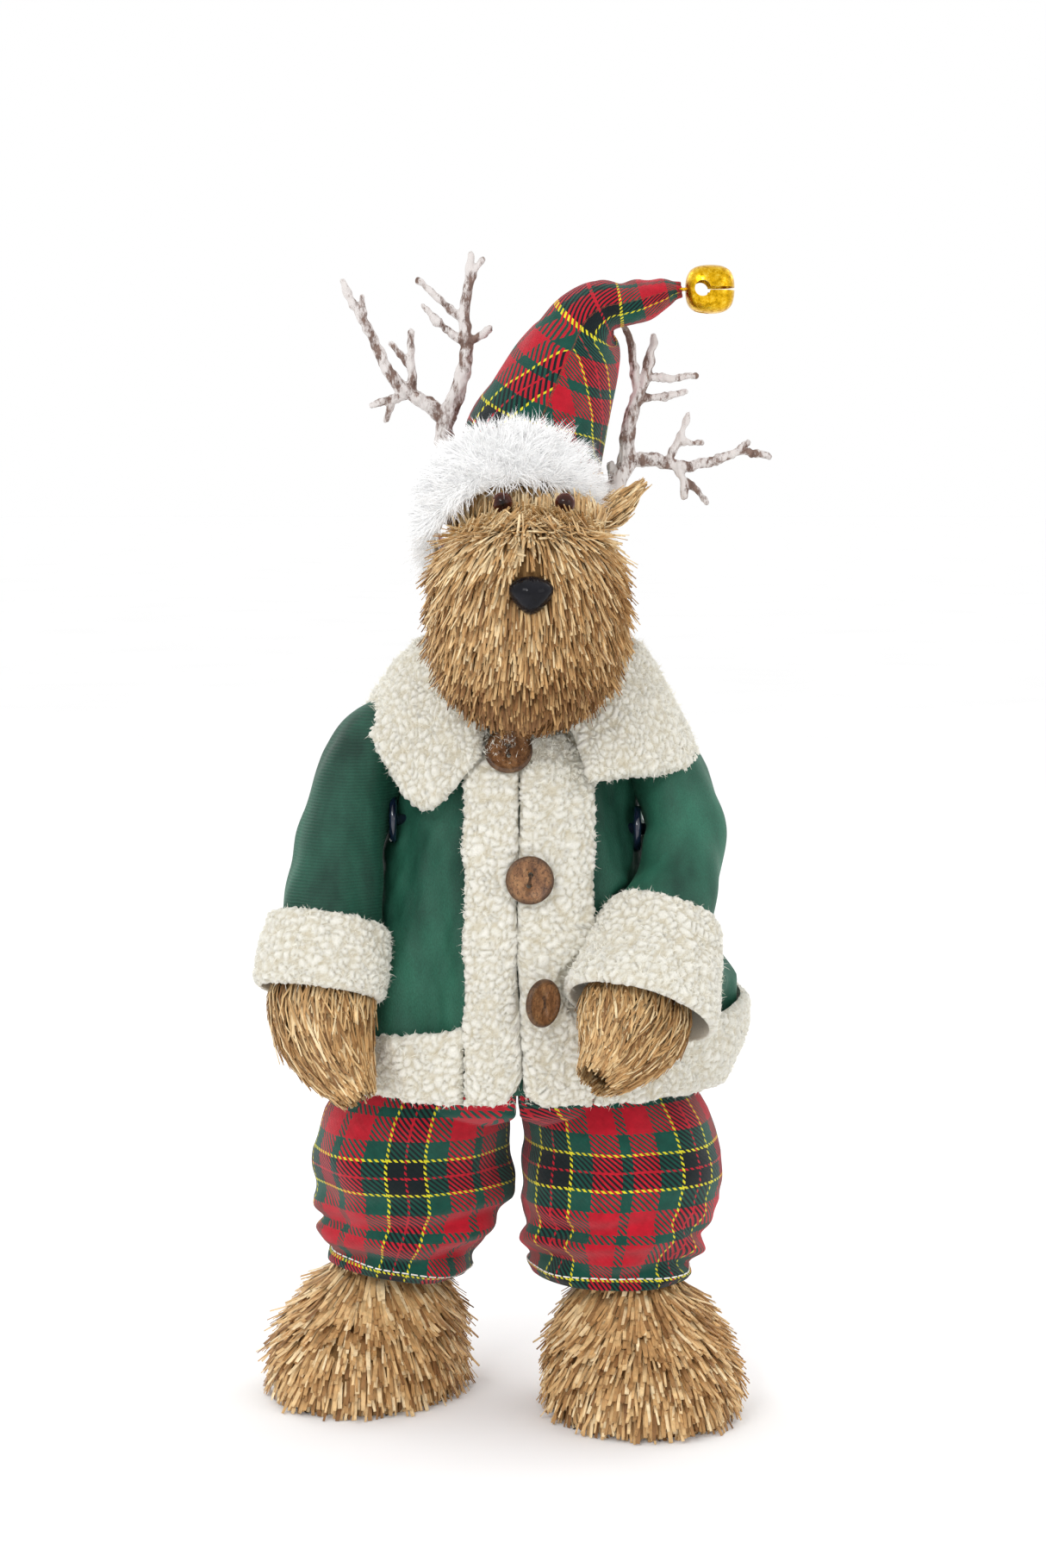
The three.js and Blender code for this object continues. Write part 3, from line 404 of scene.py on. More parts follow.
# ---- pieces ----
def piece(name, points, faces, material, body, slot=None, replaces=(), values=None, uv=None, flat=False):
    """A named mesh in the frame. Points are figure millimetres; body may be None."""
    mesh = bpy.data.meshes.new(name)
    points = metres(points).reshape(-1, 3)
    mesh.vertices.add(len(points))
    mesh.vertices.foreach_set("co", points.astype(np.float32).ravel())
    corners = np.concatenate([group.ravel() for group in faces]).astype(np.int32)
    sizes = np.concatenate([np.full(len(group), group.shape[1]) for group in faces])
    mesh.loops.add(len(corners))
    mesh.loops.foreach_set("vertex_index", corners)
    mesh.polygons.add(len(sizes))
    mesh.polygons.foreach_set("loop_start", (np.cumsum(sizes) - sizes).astype(np.int32))
    for key, value in (values or {}).items():
        mesh.attributes.new(key, "FLOAT", "POINT").data.foreach_set("value",
                                                                    np.asarray(value, np.float32).ravel())
    if uv is not None:
        layer = mesh.uv_layers.new(name="cloth")
        layer.uv.foreach_set("vector", uv.reshape(-1, 2)[corners].astype(np.float32).ravel())
    mesh.update(calc_edges=True)
    mesh.validate()
    return finished(bpy.data.objects.new(name, mesh), material, body, replaces, flat)


def paint(obj, material):
    """Makes this the object's only material."""
    obj.data.materials.clear()
    obj.data.materials.append(material)


def finished(obj, material, body, replaces=(), flat=False):
    """Links a piece and gives it its material, body and the nodes it stands for."""
    if obj.name not in bpy.context.scene.collection.objects:
        bpy.context.scene.collection.objects.link(obj)
    paint(obj, material)
    if flat:
        obj.data.shade_flat()
    else:
        obj.data.shade_smooth()
    if body:
        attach(obj, body)
    if replaces:
        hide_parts(*replaces)
    return obj


def shell(name, outer, inner, wrap, material, body, **options):
    """Closed cloth between two grids of the same size."""
    rows, across = outer.shape[0] - 1, outer.shape[1]
    size = (rows + 1) * across
    faces = [grid_faces(across, rows, wrap), grid_faces(across, rows, wrap, size)[:, ::-1]]
    ring = np.append(np.arange(across), 0) if wrap else np.arange(across)
    top = rows * across
    faces += [strip(ring + size, ring), strip(ring + top, ring + top + size)]
    if not wrap:
        side = np.arange(rows + 1) * across
        faces += [strip(side, side + size), strip(side + size + across - 1, side + across - 1)]
    return piece(name, np.concatenate([outer.reshape(-1, 3), inner.reshape(-1, 3)]), faces, material, body,
                 **options)


def closed_grid(name, grid, material, body, **options):
    """A wrapped grid whose first and last rows are closed with a fan."""
    rows, across = grid.shape[0] - 1, grid.shape[1]
    points = np.concatenate([grid.reshape(-1, 3), grid[:1].mean(axis=1), grid[-1:].mean(axis=1)])
    column = np.arange(across)
    ahead = (column + 1) % across
    low = stacked(len(points) - 2, ahead, column)
    high = stacked(len(points) - 1, column + rows * across, ahead + rows * across)
    return piece(name, points, [grid_faces(across, rows, True), low, high], material, body, **options)


def lathe(name, profile, centre, turn, material, body, sides=48, **options):
    """A turned piece: profile pairs are (radius, height) along its axis, which turns about x, then z."""
    angle = circle(sides)
    rows = np.array([stacked(r * np.cos(angle), r * np.sin(angle), h) for r, h in profile])
    spin = rotation((turn[1], "Z"), (turn[0], "X"))
    return closed_grid(name, rows @ spin.T + np.array(centre, float), material, body, **options)


def strands(name, roots, ways, outward, lengths, widths, rng, material, body, flat=0.5, pointed=False, bow=None,
            floor=None, tone=None, **options):
    """Many closed tapering stalks in one mesh, each with a tone and a share along it."""
    count, corners = len(roots), 3
    ways = unit(ways)
    side = unit(np.cross(outward, ways))
    up = np.cross(ways, side)
    bow = np.zeros((count, 3)) if bow is None else bow
    tapers = ((0, 1.0), (0.55, 1.0 if not pointed else 0.7), (1, 0.86 if not pointed else 0.0))
    rings = []
    for share, size in tapers:
        centre = roots + (ways * share + bow * share**2) * lengths[:, None]
        if size == 0:
            rings.append(centre[:, None])
            continue
        for corner in range(corners):
            angle = TURN * corner / corners
            reach = side * math.cos(angle) + up * (flat * math.sin(angle))
            rings.append((centre + reach * (widths[:, None] * size / 2))[:, None])
    points = np.concatenate(rings, axis=1)
    each = points.shape[1]
    if floor is not None:
        points[..., 2] = np.maximum(points[..., 2], floor)
    quads, triangles = [], [(2, 1, 0)]
    for ring in range(2):
        for corner in range(corners):
            a, b = ring * corners + corner, ring * corners + (corner + 1) % corners
            if ring and pointed:
                triangles.append((a, b, each - 1))
            else:
                quads.append((a, b, b + corners, a + corners))
    if not pointed:
        triangles.append((each - 3, each - 2, each - 1))
    starts = np.arange(count)[:, None, None] * each
    faces = [(starts + np.array(group)).reshape(-1, len(group[0])) for group in (quads, triangles)]
    tone = rng.random(count) if tone is None else tone
    shares = np.concatenate([[s] * (1 if size == 0 else corners) for s, size in tapers])
    values = {"tone": np.repeat(tone, each), "along": np.tile(shares, count)}
    return piece(name, points.reshape(-1, 3), faces, material, body, values=values, flat=True, **options)


def combed(form, count, start, end, reach, offset, rng, limit=1.3):
    """Stalks that follow a form's skin: roots, directions, skin normals, lengths, bows and shares."""
    share = rng.uniform(start, end, count)
    angle = rng.uniform(0, TURN, count)
    depth = offset + rng.uniform(-1.6, 0.6, count)
    whole = np.linalg.norm(np.diff(form.along(np.linspace(0, 1, 60))[0], axis=0), axis=1).sum()
    goal = np.maximum(np.minimum(share + reach / whole, limit + rng.uniform(-0.12, 0.03, count)), share + 0.08)
    turned = angle + rng.normal(0, 0.14, count)

    def at(where, round_, lift):
        past = np.maximum(where - 1, 0)[:, None] * whole
        centre, way, _, _ = form.along(where)
        skin = form.point(where, round_, lift)
        return skin + (way + (centre - skin) * 0.04) * past

    root, tip = at(share, angle, depth), at(goal, turned, depth + 0.8)
    middle = at((share + goal) / 2, (angle + turned) / 2, depth + 0.5)
    bow = 2 * ((tip - root) - 2 * (middle - root))
    way = tip - root - bow
    size = np.linalg.norm(way, axis=1)
    facing = unit(middle - form.along((share + goal) / 2)[0])
    return root, way, facing, size, bow / size[:, None], share


def swept(normals, guides, lift, jitter, rng):
    """Stalk directions that lie along the guide on the surface, raised off it by lift."""
    guides = np.broadcast_to(guides, normals.shape)
    lying = unit(guides - normals * np.sum(guides * normals, axis=1, keepdims=True))
    lift = np.broadcast_to(lift, len(normals))[:, None]
    return unit(lying * np.cos(lift) + normals * np.sin(lift) + rng.normal(0, jitter, normals.shape))


def evaluated(obj):
    """Applies an object's modifiers to its mesh."""
    made = bpy.data.meshes.new_from_object(obj.evaluated_get(bpy.context.evaluated_depsgraph_get()))
    obj.modifiers.clear()
    obj.data = made
    return obj


def cut_away(obj, tools):
    """Takes the tools' shapes out of an object, then removes the tools."""
    for tool in tools:
        cut = obj.modifiers.new("cut", "BOOLEAN")
        cut.operation, cut.solver, cut.object = "DIFFERENCE", "EXACT", tool
    evaluated(obj)
    for tool in tools:
        bpy.data.objects.remove(tool)


def vertex_array(mesh, what="co"):
    """A mesh's positions or normals, one row for each point."""
    values = np.zeros(len(mesh.vertices) * 3, np.float32)
    mesh.vertices.foreach_get(what, values)
    return values.reshape(-1, 3).astype(float)


# ---- finishes ----
def linear(colour, strength=1.0):
    """Display colour to the shader's own, as four numbers."""
    c = np.array(colour[:3], float)
    made = np.where(c <= 0.04045, c / 12.92, ((c + 0.055) / 1.055) ** 2.4) * strength
    return (*made.tolist(), 1.0)


def chosen(name, strength=1.0):
    """One of the panel's colours, as linear() gives it."""
    return linear(getattr(bpy.context.scene.reindeer_colours, name), strength)


class Finish:
    """A material's node tree, built one node at a time."""

    def __init__(self, name, **sockets):
        self.material = bpy.data.materials.new(name)
        self.material.use_nodes = True
        self.tree = self.material.node_tree
        self.shader = self.tree.nodes["Principled BSDF"]
        self.set(**sockets)

    def feed(self, socket, value):
        if isinstance(value, bpy.types.NodeSocket):
            self.tree.links.new(value, socket)
        else:
            socket.default_value = value

    def set(self, **sockets):
        for key, value in sockets.items():
            self.feed(self.shader.inputs[key.replace("_", " ")], value)
        return self.material

    def node(self, kind, out=0, inputs=(), **settings):
        made = self.tree.nodes.new("ShaderNode" + kind)
        for key, value in settings.items():
            setattr(made, key, value)
        for key, value in dict(inputs).items():
            self.feed(made.inputs[key], value)
        return made.outputs[out]

    def place(self):
        return self.node("TexCoord", out="Object")

    def noise(self, scale, detail=3.0, rough=0.55, stretch=None, vector=None):
        vector = vector or self.place()
        if stretch:
            vector = self.node("Mapping", inputs={"Vector": vector, "Scale": stretch})
        return self.node("TexNoise", inputs={"Vector": vector, "Scale": scale, "Detail": detail,
                                             "Roughness": rough})

    def value(self, name):
        return self.node("Attribute", out="Fac", attribute_name=name)

    def math(self, operation, *values):
        return self.node("Math", inputs=enumerate(values), operation=operation)

    def ramp(self, value, *stops, sharp=False):
        output = self.node("ValToRGB", inputs={0: value})
        ramp = output.node.color_ramp
        ramp.interpolation = "CONSTANT" if sharp else "LINEAR"
        ramp.elements.remove(ramp.elements[1])
        for index, (place, colour) in enumerate(stops):
            element = ramp.elements.new(place) if index else ramp.elements[0]
            element.position = place
            element.color = colour if hasattr(colour, "__len__") else (colour, colour, colour, 1)
        return output

    def mix(self, factor, a, b, blend="MIX"):
        return self.node("Mix", out=2, inputs={0: factor, 6: a, 7: b}, data_type="RGBA", blend_type=blend)

    def times(self, colour, value):
        return self.mix(1.0, colour, value, "MULTIPLY")

    def bump(self, height, distance, strength=1.0):
        self.set(Normal=self.node("Bump", inputs={"Height": height, "Distance": distance,
                                                  "Strength": strength}))


def straw_finish(name, shade=1.0):
    made = Finish(name, Roughness=0.62, Specular_IOR_Level=0.35)
    pale, light, mid, dark = (chosen(f"straw_{kind}", shade) for kind in ("pale", "light", "mid", "dark"))
    colour = made.ramp(made.value("tone"), (0.0, dark), (0.3, mid), (0.72, light), (1.0, pale))
    shadow = made.ramp(made.value("along"), (0.0, 0.4), (0.3, 0.92), (0.9, 1.0), (1.0, 0.82))
    streak = made.ramp(made.noise(420, stretch=(1, 1, 0.35)), (0.3, 0.72), (0.7, 1.12))
    made.bump(made.noise(1500, 2), 0.0003, 0.5)
    return made.set(Base_Color=made.times(made.times(colour, shadow), streak))


def shaded_under_straw_finish(name):
    made = Finish(name, Roughness=0.9, Specular_IOR_Level=0.1)
    fibres = made.noise(500, 4, stretch=(1, 1, 0.15))
    made.bump(fibres, 0.001)
    # Painted shade: the straw underneath takes darkened copies of the dark and mid straw colours, standing in
    # for the shade deep among the straws.
    return made.set(Base_Color=made.ramp(fibres, (0.3, chosen("straw_dark", 0.35)),
                                         (0.7, chosen("straw_mid", 0.5))))


def sherpa_finish(name):
    made = Finish(name, Roughness=0.95, Specular_IOR_Level=0.1, Sheen_Weight=0.35, Sheen_Roughness=0.6)
    # The curls are coloured darker and yellower down between them and whiter at their tops. This is partly the
    # cloth's own cream base and partly painted shade in the crevices.
    depth = made.ramp(made.value("pile"), (0.0, chosen("sherpa_crevice_shade")), (0.55, chosen("sherpa")),
                      (1.0, chosen("sherpa_tip")))
    fibres = made.noise(1600, 4, 0.7)
    made.bump(fibres, 0.0009, 0.8)
    return made.set(Base_Color=made.times(depth, made.ramp(fibres, (0.25, 0.82), (0.65, 1.0))))


def sherpa_fibre_finish(name):
    made = Finish(name, Roughness=0.9, Specular_IOR_Level=0.1)
    return made.set(Base_Color=made.ramp(made.value("tone"), (0.0, chosen("sherpa")),
                                         (1.0, chosen("sherpa_tip"))))


def velvet_finish(name, ribbed=False):
    made = Finish(name, Roughness=0.55, Specular_IOR_Level=0.3, Sheen_Weight=0.12, Sheen_Roughness=0.35,
                  Sheen_Tint=chosen("velvet_light"))
    # Painted shade: broad patches of the green are darkened towards the velvet shade colour, standing in for
    # folds and nap turned away from the light.
    nap = made.ramp(made.noise(44, 3, stretch=(1, 1, 0.3)), (0.34, chosen("velvet_dark")),
                    (0.7, chosen("velvet")))
    pile = made.noise(2400, 2, 0.6, stretch=(1, 1, 0.4))
    colour = made.times(nap, made.ramp(pile, (0.3, 0.75), (0.7, 1.15)))
    height = pile
    if ribbed:
        wave = made.node("TexWave", out=1, inputs={"Vector": made.place(), "Scale": 240.0, "Distortion": 1.5},
                         bands_direction="Z")
        # Painted shade in the grooves between the ribs.
        colour = made.times(colour, made.ramp(wave, (0.0, 0.82), (1.0, 1.05)))
        height = made.math("ADD", pile, wave)
    made.bump(height, 0.00035, 0.6)
    return made.set(Base_Color=colour)


def tartan_finish(name):
    made = Finish(name, Roughness=0.85, Specular_IOR_Level=0.15, Sheen_Weight=0.2, Sheen_Roughness=0.5)
    green, yellow, dark, red = (chosen(f"tartan_{kind}") for kind in ("green", "yellow", "dark", "red"))
    bands = ((green, 9), (yellow, 1), (dark, 7), (red, 0.8), (dark, 7), (yellow, 1), (green, 9),
             (red, 11.5), (green, 4.5), (red, 11.5))
    whole = sum(width for _, width in bands)
    stops, reach = [], 0.0
    for colour, width in bands:
        stops.append((reach / whole, colour))
        reach += width
    apart = made.node("SeparateXYZ", inputs={0: made.node("UVMap", uv_map="cloth")}).node.outputs
    threads = [made.math("MULTIPLY", apart[axis], 1000.0) for axis in (0, 1)]
    setts = [made.ramp(made.math("FRACT", made.math("DIVIDE", t, whole)), *stops, sharp=True) for t in threads]
    slope = made.math("ADD", *threads)
    twill = made.math("GREATER_THAN", made.math("FRACT", made.math("DIVIDE", slope, TWILL_PITCH)), 0.5)
    yarns = [made.math("PINGPONG", t, 0.22) for t in threads]
    made.bump(made.math("ADD", made.math("ADD", *yarns), made.math("MULTIPLY", twill, 0.12)), 0.0009, 0.5)
    wear = made.ramp(made.noise(260, 4), (0.3, 0.78), (0.7, 1.08))
    return made.set(Base_Color=made.times(made.mix(twill, *setts), wear))


def fur_glow_finish(name):
    # Painted light: the fur glows faintly white, and the along ramp paints shade towards each hair's root.
    made = Finish(name, Roughness=0.8, Specular_IOR_Level=0.2, Sheen_Weight=0.3, Sheen_Roughness=0.5,
                  Emission_Color=(1, 1, 1, 1), Emission_Strength=0.06)
    shade = made.ramp(made.value("along"), (0.0, 0.9), (0.5, 0.98), (1.0, 1.0))
    tone = made.ramp(made.value("tone"), (0.0, chosen("fur", 0.95)), (1.0, chosen("fur")))
    return made.set(Base_Color=made.times(tone, shade))


def twig_finish(name):
    made = Finish(name, Roughness=0.8, Specular_IOR_Level=0.25)
    bark = made.ramp(made.noise(300, 5, 0.7), (0.3, chosen("bark_dark")), (0.7, chosen("bark")))
    wash = made.noise(170, 5, 0.72, stretch=(1, 1, 0.4))
    made.bump(wash, 0.0008, 0.7)
    return made.set(Base_Color=made.mix(made.ramp(wash, (0.43, 0.0), (0.53, 0.9)), bark, chosen("whitewash")))


def speckled(name, scale, dark, light, bump=0.0002, stretch=None, **sockets):
    """A finish whose colour wanders between two tones, with the same grain in its bump."""
    made = Finish(name, **sockets)
    grain = made.noise(scale, 5, 0.65, stretch=stretch)
    made.bump(grain, bump, 0.7)
    return made.set(Base_Color=made.ramp(grain, (0.35, dark), (0.65, light)))


def gold_finish(name):
    made = Finish(name, Metallic=1.0, Specular_IOR_Level=0.6)
    grain = made.noise(420, 6, 0.75)
    made.bump(made.noise(160, 3), 0.0006, 0.6)
    made.set(Roughness=made.ramp(grain, (0.35, 0.5), (0.62, 0.2)))
    return made.set(Base_Color=made.ramp(grain, (0.34, chosen("gold", 0.45)), (0.5, chosen("gold")),
                                         (0.7, chosen("gold_light"))))


def coconut_finish(name):
    made = Finish(name, Roughness=0.42, Specular_IOR_Level=0.4)
    grain = made.noise(230, 6, 0.7, stretch=(1, 1, 0.5))
    flecks = made.ramp(made.noise(900, 3, 0.8), (0.36, 0.35), (0.5, 1.0))
    colour = made.ramp(grain, (0.3, linear((0.30, 0.19, 0.12))), (0.5, linear((0.52, 0.36, 0.23))),
                       (0.72, linear((0.70, 0.53, 0.36))))
    edge = made.ramp(made.value("rim"), (0.0, 1.0), (1.0, 0.4))
    made.bump(grain, 0.0003, 0.6)
    return made.set(Base_Color=made.times(made.times(colour, flecks), edge))


# ---- sizes and colours of the panel ----
def colour(name, default, description):
    """A colour of the panel."""
    return FloatVectorProperty(name=name, description=description, default=default, subtype="COLOR_GAMMA",
                               size=3, min=0, max=1)


def length(name, default, description):
    """A length of the panel; its default is given in millimetres."""
    return FloatProperty(name=name, description=description, unit="LENGTH", default=default * 0.001, min=0.0)


def number(name, default, description):
    """A number of straws or hairs, for the panel."""
    return IntProperty(name=name, description=description, default=default, min=100)


class ReindeerColours(bpy.types.PropertyGroup):
    """Colours of the figure's finishes"""

    straw_pale: colour("Palest straw", (0.96, 0.87, 0.70), "Colour of the palest straws")
    straw_light: colour("Light straw", (0.88, 0.74, 0.53), "Colour of the light straws")
    straw_mid: colour("Straw", (0.76, 0.59, 0.38), "Colour of most straws")
    straw_dark: colour("Dark straw", (0.53, 0.37, 0.21), "Colour of the darkest straws")
    sherpa: colour("Sherpa", (0.94, 0.925, 0.87), "Colour of the sherpa curls")
    sherpa_tip: colour("Sherpa tips", (0.99, 0.98, 0.94), "Colour at the top of each curl")
    # Sherpa base: the cream base colour with painted shade down between the curls.
    sherpa_crevice_shade: colour("Sherpa base", (0.80, 0.75, 0.63), "Colour between the curls")
    velvet: colour("Velvet", (0.17, 0.40, 0.32), "Colour of the coat")
    # Velvet shade: painted shade for the darker patches of the coat.
    velvet_dark: colour("Velvet shade", (0.05, 0.22, 0.17), "Colour where the nap lies away")
    velvet_light: colour("Velvet sheen", (0.55, 0.80, 0.66), "Tint of the coat's sheen")
    tartan_red: colour("Tartan red", (0.74, 0.075, 0.16), "Red of the tartan")
    tartan_green: colour("Tartan green", (0.06, 0.30, 0.25), "Green of the tartan")
    tartan_dark: colour("Tartan dark", (0.05, 0.10, 0.11), "Darkest yarn of the tartan")
    tartan_yellow: colour("Tartan yellow", (0.88, 0.84, 0.16), "Yellow yarn of the tartan")
    fur: colour("Fur", (0.995, 0.995, 0.995), "Colour of the hat's fur brim")
    bark: colour("Bark", (0.55, 0.46, 0.42), "Colour of the antlers")
    bark_dark: colour("Dark bark", (0.36, 0.28, 0.25), "Dark parts of the antlers")
    whitewash: colour("Whitewash", (0.86, 0.84, 0.83), "Paint brushed on the antlers")
    gold: colour("Bell gold", (0.86, 0.66, 0.08), "Colour of the bell")
    gold_light: colour("Bell highlight", (0.98, 0.85, 0.32), "Bright parts of the bell")
    floor: colour("Floor", (0.97, 0.97, 0.97), "Colour of the floor")


class ReindeerSizes(bpy.types.PropertyGroup):
    """Sizes of the figure's straws, curls and cloth"""

    head_straws: number("Head straws", 14500, "Number of straws on the head")
    hand_straws: number("Hand straws", 2600, "Number of straws on each hand")
    foot_straws: number("Foot straws", 5600, "Number of chips on each foot")
    brim_hairs: number("Brim hairs", 27000, "Number of hairs on the hat's brim")
    straw_width: length("Straw width", 1.25, "Width of a straw on the head")
    straw_length: length("Straw length", 15.0, "Length of a straw on the head")
    fur_length: length("Fur length", 9.0, "Length of the hairs on the brim")
    curl_pitch: length("Curl pitch", 3.3, "Distance between the sherpa's curls")
    curl_rise: length("Curl rise", 1.5, "Height of the sherpa's curls")
    velvet_thickness: length("Velvet thickness", 1.6, "Coat cloth with its lining")
    tartan_thickness: length("Tartan thickness", 1.2, "Thickness of the trouser cloth")


def millimetres(name):
    """One of the panel's sizes."""
    return getattr(bpy.context.scene.reindeer_sizes, name) * 1000


def sherpa_shell(name, surface, width, height, body, replaces, wrap=False, thick=(6.4, 2.4)):
    """Padded curly pile over surface(u, v, lift), rounded off at its edges."""
    pitch, rise = millimetres("curl_pitch"), millimetres("curl_rise")
    columns, rows = round(width / SHERPA_CELL), round(height / SHERPA_CELL)
    u = np.linspace(0, 1, columns + 1)[None, : columns if wrap else None]
    v = np.linspace(0, 1, rows + 1)[:, None]
    edge = np.minimum(v, 1 - v) * height + 0 * u
    if not wrap:
        edge = np.minimum(edge, np.minimum(u, 1 - u) * width)
    rounding = np.sqrt(1 - (1 - np.clip(edge / 4.5, 0, 1)) ** 2)
    lift = thick[1] + 0.4 + (thick[0] - thick[1] - 0.4) * rounding
    outer = surface(u, v, lift)
    inner = surface(u, v, np.full(lift.shape, float(thick[1])))
    warped = outer + 1.1 * np.stack([swell(outer, 9, seed) for seed in (3, 5, 8)], axis=-1)
    pile = curl_height(warped, pitch, 2)
    fine = curl_height(warped, pitch * 0.42, 6)
    height_map = rise * (pile - 0.45 + 0.28 * (fine - 0.5)) + 0.5 * swell(outer, 22, 12)
    outer = outer + grid_normals(outer, wrap) * height_map[..., None]
    shade = np.concatenate([(0.75 * pile + 0.25 * fine).ravel(), np.full(outer.size // 3, 0.5)])
    rng = np.random.default_rng(90)
    cloth = outer if wrap else outer[:, :-1]
    places, normals, _ = scatter(cloth, int(width * height * 0.75), rng)
    ways = unit(normals + rng.normal(0, 0.7, places.shape))
    bow = rng.normal(0, 0.5, places.shape) - normals * 0.35
    fibre = rng.uniform(1.2, 2.6, len(places))
    strands(f"{name}_fibres", places - normals * 0.4, ways, unit(rng.normal(size=places.shape)), fibre,
            rng.uniform(0.2, 0.42, len(places)),
            rng, finish_of("sherpa_fibre", sherpa_fibre_finish), body, pointed=True, bow=bow, slot="sherpa")
    made = shell(name, outer, inner, wrap, finish_of("sherpa", sherpa_finish), body, slot="sherpa",
                 replaces=replaces,
                 values={"pile": shade})


MADE_FINISHES = {}


def finish_of(name, maker, *args):
    """The material of that name, made the first time it is asked for."""
    if name not in MADE_FINISHES:
        MADE_FINISHES[name] = maker(name, *args)
    return MADE_FINISHES[name]


coat = Form(COAT_FORM, upright=True, press=ARM_PRESS)
slack_coat = Form([(*s[:3], s[3] + 5 * math.sin(min(max((s[2] - 215) / 88, 0), 1) * math.pi),
                    s[4]) for s in COAT_FORM],
                  upright=True, press=tuple((start, end, radius - 5.5) for start, end, radius in ARM_PRESS))


def coat_surface(z, angle, lift):
    """The coat's surface at a height, with its cloth's folds left out."""
    points = coat.point(coat.height_share(np.maximum(z, COAT_FORM[0][2] + 0.001)), angle, lift)
    points[..., 2] = z
    return points


def front_angle(z, x):
    """Angle at which the coat's front has that x, at each height."""
    angles = np.linspace(-0.85, -0.15, 141) * math.pi
    fronts = coat_surface(np.asarray(z, float)[:, None], angles[None], 0.0)[..., 0]
    return np.array([np.interp(x, row, angles) for row in fronts])


class ReindeerOperator(bpy.types.Operator):
    """A step in building the figure"""

    bl_idname = "reindeer.step"
    bl_label = "Step"
    bl_options = {"REGISTER", "UNDO"}

    def execute(self, context):
        self.build(context.scene.reindeer_sizes)
        return {"FINISHED"}


class REINDEER_OT_stage(ReindeerOperator):
    """Camera, pale floor and soft studio light"""

    bl_idname = "reindeer.stage"
    bl_label = "Stage"

    def build(self, sizes):
        scene = bpy.context.scene
        scene.view_settings.view_transform = "Standard"
        camera = bpy.data.objects.new("camera", bpy.data.cameras.new("camera"))
        camera.data.lens = CAMERA_LENS
        camera.location = CAMERA_PLACE
        camera.rotation_euler = (CAMERA_TILT, 0, 0)
        scene.collection.objects.link(camera)
        scene.camera = camera
        spokes = 72
        angle = circle(spokes)
        ring = stacked(np.cos(angle), np.sin(angle), 0) * FLOOR_REACH
        disc = np.concatenate([[[0, 0, 0]], ring]) + FIGURE_SHIFT
        column = np.arange(spokes)
        fan = stacked(0, column + 1, (column + 1) % spokes + 1)
        pale = Finish("pale_floor", Roughness=0.9, Specular_IOR_Level=0.1, Emission_Color=(1, 1, 1, 1),
                      Emission_Strength=0.08)
        pale.set(Base_Color=pale.ramp(pale.noise(3), (0.3, chosen("floor", 0.97)), (0.7, chosen("floor"))))
        piece("floor", disc, [fan], pale.material, None)
        world = bpy.data.worlds.new("studio")
        world.use_nodes = True
        world.node_tree.nodes["Background"].inputs[0].default_value = (1, 1, 1, 1)
        world.node_tree.nodes["Background"].inputs[1].default_value = 1.0
        scene.world = world
        for name, place, size, power in LAMPS:
            lamp = bpy.data.lights.new(name, "AREA")
            lamp.size, lamp.energy = size, power
            light = bpy.data.objects.new(name, lamp)
            light.location = place
            light.rotation_mode = "QUATERNION"
            light.rotation_quaternion = (Vector(place) - Vector(LAMP_AIM)).to_track_quat("Z", "Y")
            scene.collection.objects.link(light)


